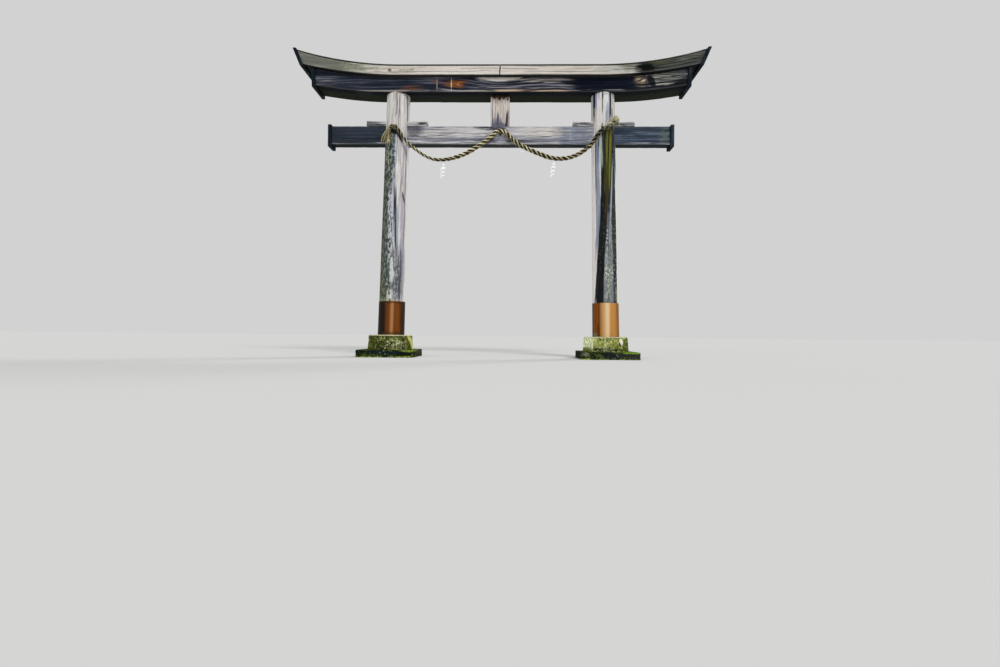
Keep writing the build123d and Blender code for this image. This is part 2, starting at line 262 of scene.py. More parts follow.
# Skin of a weathered timber: a ring carried along the grain, worn inwards and cracked along it
def timberSkin(along, ring, place, wear, cracks, seed):
    total = ring["length"]
    marks = list(np.arange(0, total, wear["spacing"]))
    for each in cracks:
        marks += [(each["around"] + shift * each["width"]) % total for shift in (-0.5, 0, 0.5)]
    marks = np.unique(np.round(marks, 4))
    t, s = np.meshgrid(along, marks, indexing="ij")
    grooveShade, sink, shifted = np.zeros(t.shape), np.zeros(t.shape), s.copy()
    for number, each in enumerate(cracks):
        gap = np.abs(roundGap(s, each["around"], total))
        middle, half = (each["start"] + each["end"]) / 2, abs(each["end"] - each["start"]) / 2
        run = np.clip(1 - ((t - middle) / half) ** 2, 0, 1) ** 0.5
        run = run * (0.75 + 0.25 * speckle(t * 5, seed + number, 0.5, seed))
        profile = np.clip(1 - gap / (each["width"] * 0.5), 0, 1)
        sink += each["depth"] * run * profile
        grooveShade = np.maximum(grooveShade, np.clip(run * 1.3, 0, 1) * profile)
        drift = each["wander"] * speckle(t * 1.3, number + 0.3, 0.2, seed + 5) + each["slant"] * (t - middle)
        shifted += drift * np.exp(-(gap / (each["width"] * 4 + 0.02)) ** 2)
    shifted %= total
    a, b, outA, outB, bend = readRing(ring, shifted)
    reach = t / wear["grain"]
    fine = layered(reach * 2.2, a / 0.028, b / 0.028, seed, 3)
    broad = layered(reach * 0.7, a / 0.16, b / 0.16, seed + 40, 2)
    ripple = wear["ripple"] * (0.5 + 0.5 * fine) + wear["broad"] * (0.5 + 0.5 * broad)
    chips = np.clip(layered(t / 0.16, a / 0.2, b / 0.2, seed + 80, 3) - 0.05, 0, 1)
    sink += ripple + bend * (wear["arris"] * 0.35 + wear["arris"] * 2.2 * chips)
    for hollow in wear.get("hollows", ()):
        sink += hollow(t, shifted, total)
    points = place(t, a - outA * sink, b - outB * sink)
    values = {"grooveShade": grooveShade, "arris": np.clip(bend * (0.7 + chips), 0, 1)}
    return closedSkin(points, values, relief=wear.get("endRelief", 0.0), seed=seed)


# A drying crack: its place round the timber, its two ends along it, its width and depth
def crack(around, start, end, width, depth, slant=0.0, wander=0.02):
    return dict(around=around, start=start, end=end, width=width, depth=depth, slant=slant, wander=wander)


# Cracks at seeded places between two ends, each size between a least and a greatest
def scatterCracks(seed, total, keepOff, count, start, end, width, depth, length):
    dice = np.random.default_rng(seed)
    cracks = []
    while len(cracks) < count:
        around = dice.uniform(0, total)
        size, middle = dice.uniform(*length), dice.uniform(start, end)
        new = crack(around, max(start, middle - size / 2), min(end, middle + size / 2),
                    dice.uniform(*width), dice.uniform(*depth), wander=0.012)
        if all(abs(roundGap(each["around"], around, total)) >= 0.03 for each in cracks + list(keepOff)):
            cracks.append(new)
    return cracks


# The skin with its own named cracks and others scattered between them
def crackedSkin(along, ring, place, look, seed, own=()):
    cracks = list(own) + scatterCracks(seed, ring["length"], own, *look["scatter"])
    if "wander" in look:
        cracks = [dict(each, wander=look["wander"]) for each in cracks]
    return timberSkin(along, ring, place, look, cracks, seed)


def makeTimber(name, node, slot, material, *shape, **more):
    return settle(makePiece(name, *crackedSkin(*shape, **more)), node, material)


# Sizes of the timbers, in metres, as the frame has them
timbers = {
    "footX": 2.33, "headX": 2.216, "footZ": 0.47, "undersideZ": 5.649, "headZ": 5.676,
    "footRadius": 0.282, "headRadius": 0.251,
    "tieLow": 4.588, "tieHigh": 4.983, "tieDeep": 0.22, "tieEnd": 3.6394,
    "lowerTop": 5.972, "lowerDeep": 0.498, "lowerBend": 2.3, "lowerRadius": 9.24, "lowerEnd": 3.945,
    "lowerLean": 0.02,
    "upperBend": 2.1, "underRadius": 9.5, "topRadius": 7.74, "upperEdge": 6.167, "upperDeep": 0.674,
    "upperEnd": 4.19, "upperLean": 0.12, "ridgeRise": 0.06, "capThick": 0.022, "capOver": 0.012,
}
postTall = timbers["undersideZ"] - timbers["footZ"]
postLean = (timbers["footX"] - timbers["headX"]) / postTall
postTaper = (timbers["footRadius"] - timbers["headRadius"]) / postTall
postArc = 0.27      # radius that turns an angle round the post into a distance from its front line
signs = {"left": -1, "right": 1}


# Adds a shader node, with sockets linked, numbers set and plain colours made opaque
def addNode(tree, kind, inputs=None, **settings):
    node = tree.nodes.new("ShaderNode" + kind)
    for key, value in settings.items():
        setattr(node, key, value)
    for key, value in (inputs or {}).items():
        socket = node.inputs[key]
        if isinstance(value, bpy.types.NodeSocket):
            tree.links.new(value, socket)
        else:
            socket.default_value = (*value, 1.0) if socket.type == "RGBA" else value
    return node


def mixColour(tree, factor, first, second, way="MIX"):
    inputs = {0: factor, 6: first, 7: second}       # the sockets that a colour mix has
    return addNode(tree, "Mix", inputs, data_type="RGBA", blend_type=way).outputs[2]


def sums(tree, way, *terms):
    return addNode(tree, "Math", dict(enumerate(terms)), operation=way).outputs[0]


def multiply(tree, first, second):
    return sums(tree, "MULTIPLY", first, second)


# A tone moved up and down by a noise
def sway(tree, tone, noise, share):
    return sums(tree, "ADD", tone, multiply(tree, sums(tree, "SUBTRACT", noise, 0.5), share))


def spread(tree, value, low, high, outLow=0.0, outHigh=1.0):
    inputs = {"Value": value, "From Min": low, "From Max": high, "To Min": outLow, "To Max": outHigh}
    return addNode(tree, "MapRange", inputs, interpolation_type="SMOOTHSTEP").outputs[0]


def evenNoise(tree, where, scale, detail=5.0, rough=0.65, warp=0.0):
    inputs = {"Vector": where, "Scale": scale, "Detail": detail, "Roughness": rough, "Distortion": warp}
    return addNode(tree, "TexNoise", inputs).outputs["Fac"]


def grainNoise(tree, where, scale, detail=4.0, rough=0.55, warp=0.0):
    mapped = addNode(tree, "Mapping", {"Vector": where, "Scale": scale}).outputs[0]
    return evenNoise(tree, mapped, 1.0, detail, rough, warp)


def readValue(tree, name):
    return addNode(tree, "Attribute", attribute_name=name).outputs["Fac"]


def split(tree, vector):
    return addNode(tree, "SeparateXYZ", {0: vector}).outputs


def join(tree, x=0.0, y=0.0, z=0.0):
    return addNode(tree, "CombineXYZ", {0: x, 1: y, 2: z}).outputs[0]


def vectors(tree, way, first, second=(0, 0, 0)):
    return addNode(tree, "VectorMath", {0: first, 1: second}, operation=way)


def shadeBy(tree, colour, value):
    grey = addNode(tree, "CombineColor", {0: value, 1: value, 2: value}).outputs[0]
    return mixColour(tree, 1.0, colour, grey, "MULTIPLY")


def upward(tree):
    return split(tree, addNode(tree, "NewGeometry").outputs["Normal"])[2]


def toneRamp(tree, value, tones):
    ramp = addNode(tree, "ValToRGB", {0: value})
    points = ramp.color_ramp.elements
    while len(points) < len(tones):
        points.new(0.5)
    for point, (place, colour) in zip(points, tones):
        point.position = place
        point.color = (*colour, 1.0)
    return ramp.outputs[0]


# Places on a leaning post: its skin unrolled flat, and its grain with the twist taken out
def postPlaces(tree, where, look):
    x, y, height = split(tree, where)
    side = look["side"]
    foot = side * (timbers["footX"] + postLean * timbers["footZ"])
    middle = sums(tree, "MULTIPLY_ADD", height, -side * postLean, foot)
    across = sums(tree, "SUBTRACT", x, middle)
    turn = sums(tree, "ARCTAN2", across, multiply(tree, y, -1.0))
    flat = join(tree, x=multiply(tree, turn, postArc), z=height)
    twist = multiply(tree, height, -look.get("twist", 0.0))
    grain = addNode(tree, "VectorRotate", {"Vector": join(tree, across, y, height), "Angle": twist},
                    rotation_type="Z_AXIS")
    return flat, grain.outputs[0]


# A place where the grain lines part round a knot, or bow past it
def bend(x, z, wide, tall, part=0.0, lift=0.0):
    return dict(x=x, z=z, wide=wide, tall=tall, part=part, lift=lift)


def bendGrain(tree, grain, where, faceY, spot):
    inputs = {"Vector": where, "Location": (spot["x"], faceY, spot["z"]),
              "Scale": (spot["wide"], 5.0, spot["tall"])}
    placed = addNode(tree, "Mapping", inputs, vector_type="TEXTURE").outputs[0]
    squared = vectors(tree, "DOT_PRODUCT", placed, placed).outputs["Value"]
    near = sums(tree, "EXPONENT", multiply(tree, squared, -1.0))
    pull = sums(tree, "MULTIPLY_ADD", split(tree, placed)[2], -spot["part"] * spot["tall"], spot["lift"])
    return vectors(tree, "ADD", grain, join(tree, z=multiply(tree, pull, near))).outputs[0]


# A mark on a face: its middle, half width and half height, colour, strength and how ragged its edge is
def oval(x, z, wide, tall, colour, strength, ragged, **more):
    return dict(more, x=x, z=z, wide=wide, tall=tall, colour=colour, strength=strength, ragged=ragged)


def strip(*values, **more):
    return dict(oval(*values, **more), box=True)


# Lays one mark over a colour, egg-shaped, or a strip where box is set
def blot(tree, base, where, noises, spot, look):
    faceY, deep = look.get("faceY", 0.0), 0.3 if "faceY" in look else 1.0
    placed = addNode(tree, "Mapping", {
        "Vector": where, "Location": (spot["x"], spot.get("y", faceY), spot["z"]),
        "Scale": (spot["wide"], spot.get("deep", deep), spot["tall"]),
        "Rotation": (0, radians(spot.get("tilt", 0)), 0)}, vector_type="TEXTURE").outputs[0]
    if spot.get("box"):
        x, y, z = split(tree, vectors(tree, "ABSOLUTE", placed).outputs[0])
        reach = sums(tree, "MAXIMUM", x, sums(tree, "MAXIMUM", y, z))
    else:
        reach = vectors(tree, "LENGTH", placed).outputs["Value"]
    reach = sway(tree, reach, noises["ragged"], spot["ragged"])
    soft = spot.get("soft", 0.3)
    cover = spread(tree, reach, 1 + soft, 1 - soft, 0.0, spot["strength"])
    for kind, edge in (("specks", 0.05), ("streaks", 0.1)):
        if kind in spot:
            cover = multiply(tree, cover, spread(tree, noises[kind], spot[kind], spot[kind] + edge))
    return mixColour(tree, cover, base, spot["colour"])


def newMaterial(name):
    material = bpy.data.materials.new(name)
    material.use_nodes = True
    tree = material.node_tree
    tree.nodes.clear()
    return material, tree, addNode(tree, "TexCoord").outputs["Object"]


def finishMaterial(tree, colour, rough, height, bump=0.5, distance=0.004, metal=0.0, specular=0.5):
    relief = addNode(tree, "Bump", {"Strength": bump, "Distance": distance, "Height": height}).outputs[0]
    shader = addNode(tree, "BsdfPrincipled", {"Base Color": colour, "Roughness": rough, "Metallic": metal,
                                              "Specular IOR Level": specular, "Normal": relief})
    addNode(tree, "OutputMaterial", {0: shader.outputs[0]})


def timberMaterial(look):
    material, tree, where = newMaterial(look["name"])
    flat, grain = postPlaces(tree, where, look) if "side" in look else (where, where)
    grain = vectors(tree, "ADD", grain, look.get("offset", (0, 0, 0))).outputs[0]
    for spot in look.get("bends", ()):
        grain = bendGrain(tree, grain, flat, look["faceY"], spot)

    def scaled(along, across):
        return (along, across, across) if look["grain"] == "x" else (across, across, along)

    broad = grainNoise(tree, grain, scaled(0.5, 6.5), 3.0, 0.5, 0.3)
    streak = grainNoise(tree, grain, scaled(0.9, 24.0), 4.0, 0.6, 0.2)
    line = grainNoise(tree, grain, scaled(1.5, 62.0), 3.0, 0.6)
    fibre = grainNoise(tree, grain, scaled(8.0, 260.0), 3.0, 0.6)
    speckScale = scaled(look.get("speckLong", 12.0), look.get("speckScale", 24.0))
    noises = {"ragged": grainNoise(tree, grain, scaled(2.4, 26.0), 4.0, 0.65),
              "specks": grainNoise(tree, where, speckScale, 5.0, 0.65), "streaks": streak}
    tone = 0.5
    for noise, share in zip((broad, streak, line), look.get("shares", (1.6, 1.6, 0.9))):
        tone = sway(tree, tone, noise, share)
    colour = toneRamp(tree, tone, look["tones"])
    for spot in look.get("marks", ()):
        colour = blot(tree, colour, flat, noises, spot, look)
    splitFrom = look.get("splitFrom", 0.4)
    splits = spread(tree, line, splitFrom, splitFrom - 0.06, 0.0, look.get("split", 0.6))
    colour = mixColour(tree, splits, colour, (0.03, 0.027, 0.03))
    colour = shadeBy(tree, colour, spread(tree, fibre, 0.3, 0.7, look.get("fibreDark", 0.74), 1.14))
    if "lichen" in look:
        lichen = look["lichen"]
        cover = evenNoise(tree, where, lichen["scale"], 6.0, 0.7)
        cover = spread(tree, cover, lichen["from"], lichen["from"] + 0.08, 0.0, lichen["strength"])
        colour = mixColour(tree, cover, colour, lichen["colour"])
    facing = upward(tree)
    # painted shade: faces turned downwards take the underside colours, the first nearer the front and the
    # second nearer the back, streaked with the first
    if "under" in look:
        deep = spread(tree, split(tree, where)[1], look["underFrom"], look["underTo"])
        shade = toneRamp(tree, deep, list(enumerate(look["under"])))
        shade = mixColour(tree, spread(tree, streak, 0.4, 0.65, 0.0, 0.5), shade, look["under"][0])
        colour = mixColour(tree, spread(tree, facing, -0.35, -0.8, 0.0, 0.95), colour, shade)
    if "top" in look:
        patchy = spread(tree, evenNoise(tree, where, 7.0, 5.0, 0.7), 0.38, 0.58)
        colour = mixColour(tree, multiply(tree, spread(tree, facing, 0.5, 0.9), patchy), colour, look["top"])
    worn = multiply(tree, readValue(tree, "arris"), look.get("arrisStrength", 0.25))
    colour = mixColour(tree, worn, colour, look.get("arrisColour", (0.6, 0.56, 0.5)))
    # painted shade: the insides of the cracks are darkened almost to black
    colour = mixColour(tree, multiply(tree, readValue(tree, "grooveShade"), 0.95), colour, (0.012, 0.011, 0.012))
    height = sums(tree, "ADD", multiply(tree, line, 0.6), multiply(tree, fibre, 0.4))
    finishMaterial(tree, colour, spread(tree, fibre, 0.2, 0.8, 0.74, 0.95), height, 0.6, 0.008, specular=0.07)
    return material


def stoneMaterial(look):
    material, tree, where = newMaterial(look["name"])
    broad, ragged = evenNoise(tree, where, 6.0), evenNoise(tree, where, 16.0, 6.0, 0.7)
    grit = evenNoise(tree, where, 27.0, 6.0, 0.75)
    noises = {"ragged": ragged, "specks": evenNoise(tree, where, 21.0), "streaks": broad}
    tone = sway(tree, sway(tree, 0.5, broad, 1.4), ragged, 1.7)
    colour = toneRamp(tree, tone, look["tones"])
    for spot in look["marks"]:
        colour = blot(tree, colour, where, noises, spot, look)
    colour = shadeBy(tree, colour, spread(tree, grit, 0.34, 0.66, 0.35, 1.55))
    dots = addNode(tree, "TexVoronoi", {"Vector": where, "Scale": 17.0}).outputs["Distance"]
    rare = spread(tree, evenNoise(tree, where, 8.0, 3.0, 0.5), 0.5, 0.6, 0.0, look["lichenStrength"])
    colour = mixColour(tree, multiply(tree, spread(tree, dots, 0.36, 0.22), rare), colour, look["lichen"])
    # the upward faces take the top colour in lichen-like patches: on the base stones a pale painted highlight
    # along the rounded top edge, on the slabs dark moss
    above = spread(tree, upward(tree), 0.35, 0.8)
    patch = spread(tree, ragged, 0.34, 0.54, 0.0, 0.9)
    colour = mixColour(tree, multiply(tree, above, patch), colour, look["top"])
    height = sums(tree, "ADD", multiply(tree, grit, 0.5), multiply(tree, ragged, 0.9))
    finishMaterial(tree, colour, spread(tree, grit, 0.2, 0.8, 0.82, 0.98), height, 0.8, 0.012, specular=0.07)
    return material


def copperMaterial(look):
    material, tree, where = newMaterial(look["name"])
    flat, _ = postPlaces(tree, where, look)
    toneShifts = grainNoise(tree, where, (22.0, 22.0, 1.6), 5.0, 0.6, 0.3)
    specks, ragged = evenNoise(tree, where, 24.0), grainNoise(tree, where, (16.0, 16.0, 3.0), 4.0, 0.6)
    noises = {"ragged": ragged, "specks": specks, "streaks": toneShifts}
    colour = toneRamp(tree, sway(tree, 0.5, toneShifts, 1.6), look["tones"])
    for spot in look["marks"]:
        colour = blot(tree, colour, flat, noises, spot, look)
    finishMaterial(tree, colour, spread(tree, specks, 0.3, 0.7, 0.42, 0.62), specks, 0.12, 0.003, metal=0.9)
    return material


def strawMaterial(look):
    material, tree, where = newMaterial(look["name"])
    patches, fine = evenNoise(tree, where, 9.0, 4.0, 0.6), evenNoise(tree, where, 110.0, 3.0, 0.6)
    tone = sway(tree, sway(tree, readValue(tree, "tone"), patches, 1.2), fine, 1.4)
    colour = toneRamp(tree, tone, look["tones"])
    # painted shade where straw lies in gaps and crevices
    creviceShade = multiply(tree, readValue(tree, "grooveShade"), look["deepStrength"])
    colour = mixColour(tree, creviceShade, colour, look["deep"])
    finishMaterial(tree, colour, spread(tree, fine, 0.3, 0.7, 0.6, 0.85), fine, 0.4, 0.002, specular=0.3)
    return material


def paperMaterial():
    material, tree, where = newMaterial("weatheredPaper")
    pulp, damp = evenNoise(tree, where, 60.0, 5.0, 0.7), evenNoise(tree, where, 9.0, 4.0, 0.6)
    colour = toneRamp(tree, damp, [(0.4, (0.8, 0.82, 0.86)), (0.6, (0.95, 0.955, 0.96))])
    # painted shade under each panel's upper edge and at its lower left, where the folds and overlaps lie
    colour = mixColour(tree, readValue(tree, "grooveShade"), colour, (0.1, 0.11, 0.13))
    finishMaterial(tree, colour, spread(tree, pulp, 0.3, 0.7, 0.75, 0.9), pulp, 0.3, 0.001, specular=0.3)
    return material


print("helpers ready")

# Rope route: where the straw rope's middle line runs, in metres
ropeLook = {
    "route": [
        (-2.374, -0.267, 4.825), (-2.325, -0.291, 4.903), (-2.215, -0.308, 4.912), (-2.127, -0.286, 4.793),
        (-1.967, -0.279, 4.546), (-1.503, -0.25, 4.215), (-1.147, -0.227, 4.2), (-0.72, -0.201, 4.34),
        (-0.35, -0.178, 4.596), (-0.161, -0.166, 4.756), (-0.067, -0.16, 4.855), (0.07, -0.161, 4.855),
        (0.205, -0.169, 4.746), (0.383, -0.18, 4.564), (0.796, -0.206, 4.367), (1.142, -0.227, 4.235),
        (1.449, -0.246, 4.237), (1.728, -0.264, 4.343), (1.97, -0.279, 4.553), (2.084, -0.272, 4.771),
        (2.2, -0.308, 4.85), (2.318, -0.297, 4.928), (2.408, -0.261, 5.029),
    ],
    "diameter": 0.09,
    "layLength": 0.33,      # one full turn of a strand
    "strands": 3,
    "ringStep": 0.011,
    "strandSides": 15,
    "thickness": [(0.0, 0.86), (0.06, 0.84), (0.13, 0.7), (0.2, 0.7), (0.3, 0.95), (0.4, 1.1), (0.7, 1.08),
                  (0.85, 1.0), (1.0, 1.0)],      # share of the length, share of the diameter
    # tone shifts along the rope, lowest at the left end and just before the right end
    "toneShifts": [(0.0, -0.22), (0.07, -0.22), (0.1, -0.08), (0.17, 0.02), (0.24, -0.12), (0.32, -0.05),
               (0.42, 0.03), (0.5, 0.04), (0.62, -0.02), (0.74, -0.1), (0.82, -0.03), (0.87, -0.16),
               (0.895, -0.36), (0.955, -0.36), (0.98, -0.1)],      # share of the length, change of tone
    "looseStraws": 460,
    "frays": 110,
    "seed": 11,
}


def ropeLine(route, step):
    curve = bpy.data.curves.new("ropeRoute", "CURVE")
    curve.dimensions = "3D"
    curve.resolution_u = 16
    spline = curve.splines.new("NURBS")
    spline.points.add(len(route) - 1)
    for point, place in zip(spline.points, route):
        point.co = (*place, 1.0)
    spline.order_u = 3
    spline.use_endpoint_u = True
    holder = addObject("ropeRoute", curve)
    bpy.context.view_layer.update()
    mesh = bpy.data.meshes.new_from_object(holder.evaluated_get(bpy.context.evaluated_depsgraph_get()))
    line = np.array([tuple(v.co) for v in mesh.vertices])
    bpy.data.objects.remove(holder)
    bpy.data.curves.remove(curve)
    bpy.data.meshes.remove(mesh)
    reach = np.concatenate([[0], np.cumsum(np.linalg.norm(np.diff(line, axis=0), axis=1))])
    stops = np.linspace(0, reach[-1], int(reach[-1] / step) + 1)
    return np.stack([np.interp(stops, reach, column) for column in line.T], axis=1), stops


def turnedFrames(line):
    ways = unit(np.gradient(line, axis=0))
    side = unit(np.cross(ways[0], (0, 1, 0)))
    sides = [side]
    for way in ways[1:]:
        side = unit(side - way * (side @ way))
        sides.append(side)
    sides = np.array(sides)
    return ways, sides, np.cross(ways, sides)


# Thin straws in one mesh, each a tapered three-sided stalk along a bent line with a width and a tone
def strawMesh(name, straws, material, node=None):
    steps = np.linspace(0, 1, 6)
    faces = ringFaces(6, 3) + [(0, 1, 2), (15, 16, 17)]
    skins = []
    for start, middle, end, width, tone in straws:
        way = unit(end - start)
        side = unit(np.cross(way, (0.31, 0.77, 0.56)))
        other = np.cross(way, side)
        points = []
        for k, t in enumerate(steps):
            spot = (1 - t) ** 2 * start + 2 * t * (1 - t) * middle + t * t * end
            for j in range(3):
                angle = 2 * pi * j / 3 + k * 0.3
                out = side * cos(angle) + other * sin(angle)
                points.append(spot + out * width * (1 - 0.75 * t))
        # painted shade, darkest at each straw's root
        values = {"grooveShade": np.repeat(0.35 * (1 - steps), 3), "tone": np.full(len(points), tone)}
        skins.append((np.array(points), faces, values))
    return settle(makePiece(name, *joinSkins(skins)), node, material)


straw = strawMaterial({
    "name": "riceStraw", "deep": (0.007, 0.006, 0.003), "deepStrength": 0.96,
    "tones": [(0.25, (0.07, 0.045, 0.014)), (0.45, (0.27, 0.2, 0.07)), (0.6, (0.52, 0.46, 0.22)),
              (0.8, (0.8, 0.75, 0.5))],
})
paleStraw = strawMaterial({
    "name": "frayedStraw", "deep": (0.05, 0.038, 0.018), "deepStrength": 0.8,
    "tones": [(0.25, (0.06, 0.045, 0.015)), (0.45, (0.33, 0.29, 0.13)), (0.65, (0.68, 0.66, 0.42)),
              (0.9, (0.84, 0.84, 0.66))],
})


# The rope's piece, with its middle line, thickness and turning frames for what is tied to it
def makeRope(look):
    line, stops = ropeLine(look["route"], look["ringStep"])
    ways, sides, others = turnedFrames(line)
    share, seed, count = stops / stops[-1], look["seed"], look["strandSides"]
    thick = np.interp(share, *zip(*look["thickness"])) * (1 + 0.03 * speckle(stops * 3, 0.5, 0.5, seed))
    toneShift = np.interp(share, *zip(*look["toneShifts"]))
    radius = look["diameter"] / 2 / 2.155       # of one strand
    angles = 2 * pi * np.arange(count) / count
    apart = np.minimum(angles, 2 * pi - angles)
    # painted shade in the gaps between the strands, wider where the tone is shifted down
    gap = np.clip((apart - 0.46 - 1.1 * toneShift[:, None]) / 0.5, 0, 1)
    skins = []
    for strand in range(look["strands"]):
        phase = 2 * pi * (strand / look["strands"] + stops / look["layLength"])
        phase = phase + 0.25 * speckle(stops * 2.5, strand + 0.5, 0.1, seed)
        out = sides * np.cos(phase)[:, None] + others * np.sin(phase)[:, None]
        strandThick = thick * (1 + 0.07 * speckle(stops * 9, strand + 0.5, 0.9, seed + 3))
        rib = 0.05 * speckle(stops[:, None] * 30, np.arange(count) + 0.5, strand + 0.5, seed + 9)
        rib = 1 + 0.09 * np.sin(5 * angles + stops[:, None] / 0.035) + rib
        middle = line + out * (radius * 1.1 * thick)[:, None]
        rings = tubeRings(middle, out, radius * strandThick[:, None] * rib)
        # painted shade: the rope is darker on its lower side
        upper = (rings[..., 2] - line[:, 2:]) / (look["diameter"] / 2 * thick)[:, None]     # dark below
        mottle = 0.14 * speckle(stops * 7, strand + 0.5, 0.3, seed + 21)
        # painted light: each strand is lighter on its crest and ribs, darker round towards the gaps
        tone = 0.69 - 0.14 * apart + 2.2 * (rib - 1) + 0.14 * upper + (0.9 * toneShift + mottle)[:, None]
        skins.append(closedSkin(rings, {"grooveShade": gap * gap * (3 - 2 * gap), "tone": tone}, steps=(0.5,)))
    piece = settle(makePiece("strawRope", *joinSkins(skins), sharp=60), "straw_rope", straw)
    return {"piece": piece, "line": line, "length": float(stops[-1]), "thick": thick, "ways": ways,
            "sides": sides, "others": others}


rope = makeRope(ropeLook)


# Way out of the rope at one of its rings, at an angle round it
def outOfRope(k, angle):
    return rope["sides"][k] * cos(angle) + rope["others"][k] * sin(angle)


def makeLooseStraws(look):
    dice = np.random.default_rng(look["seed"])
    straws = []
    for _ in range(look["looseStraws"]):
        k = int(dice.integers(4, len(rope["line"]) - 4))
        out, way = outOfRope(k, dice.uniform(0, 2 * pi)), rope["ways"][k]
        start = rope["line"][k] + out * 0.036 * rope["thick"][k]
        length = dice.uniform(0.03, 0.085) * (1.0 if dice.random() < 0.85 else 1.25)
        forward = way * dice.choice((-1, 1)) * 0.8 + np.cross(way, out) * 0.6
        middle = start + (forward * 0.55 + out * 0.25) * length
        end = start + (forward * 0.85 + out * 0.35 + np.array((0, 0, -0.35))) * length
        if end[1] <= -0.13:     # clear of the tie beam's face
            straws.append((start, middle, end, dice.uniform(0.0009, 0.0018), dice.uniform(0.25, 0.9)))
    # bright frays that stand up from the rope before its right end
    for _ in range(look["frays"]):
        k = int(len(rope["line"]) * dice.uniform(0.95, 0.992))
        start = rope["line"][k] + np.array((dice.uniform(-0.02, 0.02), -0.03, dice.uniform(0.0, 0.03)))
        end = start + np.array((dice.normal(0.0, 0.035), dice.uniform(-0.012, 0.006),
                                dice.choice((0.095, 0.06, -0.06)) * dice.uniform(0.5, 1)))
        middle = (start + end) / 2 + np.array((0.0, -0.01, 0.008))
        straws.append((start, middle, end, dice.uniform(0.0016, 0.003), dice.uniform(0.55, 0.98)))
    return strawMesh("ropeLooseStraws", straws, paleStraw)


looseStraws = makeLooseStraws(ropeLook)


# Twine wound round the rope, as one helix of a given thickness
def twineMesh(name, centre, way, look, node=None):
    side = unit(np.cross(way, (0.1, 1, 0.2)))
    other = np.cross(way, side)
    steps = int(look["turns"] * 30)
    angles = np.linspace(0, 2 * pi * look["turns"], steps)
    drift = np.linspace(-0.5, 0.5, steps) * look["length"]
    reach = look["radius"] * (1 - look["squeeze"] * (2 * np.abs(drift) / look["length"]) ** 2)
    reach = reach * (1 + 0.02 * speckle(angles, 0.3, 0.3, 7))
    outward = side * np.cos(angles)[:, None] + other * np.sin(angles)[:, None]
    line = centre + outward * reach[:, None] + way * drift[:, None]
    turns = 2 * pi * np.arange(8) / 8
    rib = 1 + 0.18 * np.sin(2 * turns + angles[:, None] * 6)
    # painted shade on the twine's sides, where it turns in against the rope
    deep = np.maximum(np.abs(np.sin(turns)) - 0.3, 0.0) + 0 * rib
    values = {"grooveShade": deep, "tone": 0.55 + 0 * rib}
    skin = closedSkin(tubeRings(line, outward, look["thickness"] / 2 * rib), values, steps=(0.5,))
    return settle(makePiece(name, *skin, sharp=60), node, straw)


# The rope's right end: wound twine and a cut brush of straw, as the CAD binding has it
bindingLook = {"radius": 0.051, "length": 0.062, "turns": 4.5, "thickness": 0.014, "squeeze": 0.25}
endWay = rope["ways"][-1]
binding = twineMesh("ropeBindingRight", rope["line"][-1] + endWay * 0.018, endWay, bindingLook,
                    "rope_binding_right")


def makeEndBrush():
    dice = np.random.default_rng(23)
    foot = rope["line"][-1] + np.array((0.024, 0.0, 0.012))
    straws = []
    for _ in range(210):
        angle, bulge = dice.uniform(0, 2 * pi), dice.uniform(0.6, 1.0)
        out = outOfRope(-1, angle)
        start = foot + endWay * 0.015 + out * 0.04 * bulge
        middle = foot + endWay * 0.08 + out * 0.122 * bulge
        end = foot + endWay * dice.uniform(0.098, 0.108) * bulge ** 0.4 - out * dice.uniform(0.0, 0.02)
        tone, width = dice.uniform(0.42, 0.92), dice.uniform(0.004, 0.0065)
        straws.append((start, middle, end, width, tone))
    return strawMesh("ropeEndBrush", straws, paleStraw)


endBrush = makeEndBrush()


def makeTail():
    dice = np.random.default_rng(29)
    low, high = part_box("rope_tail_right")
    foot = np.array(((low[0] * 0.55 + high[0] * 0.45), (low[1] + high[1]) / 2, low[2] + 0.004))
    top = np.array((high[0] - 0.028, high[1] - 0.045, high[2] - 0.02))
    straws = []
    for tone in (0.3, 0.85, 0.22, 0.95, 0.25, 0.6, 0.34) * 20:
        start = top + dice.uniform(-1, 1, 3) * (0.022, 0.016, 0.012)
        end = foot + np.array((dice.uniform(-0.035, 0.105), dice.uniform(-0.03, 0.02),
                               dice.uniform(0.0, 0.09)))
        bulge = np.array((dice.uniform(-0.005, 0.03), dice.uniform(-0.03, 0.0), 0.0))
        straws.append((start, (start + end) / 2 + bulge, end, dice.uniform(0.0022, 0.0038), tone))
    return strawMesh("ropeTailRight", straws, paleStraw, "rope_tail_right")


makeTail()

# The frayed tassel at the left end, tied with a twine and fanning out as it hangs
tasselLook = {
    "straws": 290,
    "seed": 31,
    "locks": [(0.02, 0.72, 0.05), (0.13, 0.26, 0.02), (0.25, 0.6, 0.0), (0.37, 0.2, 0.03), (0.48, 0.56, 0.0),
              (0.57, 0.18, 0.04), (0.67, 0.74, 0.01), (0.78, 0.84, 0.03), (0.88, 0.42, 0.0),
              (0.97, 0.22, 0.06)],      # place, tone, how short
    "tie": {"radius": 0.04, "length": 0.05, "turns": 4.5, "thickness": 0.012, "squeeze": 0.0},
}


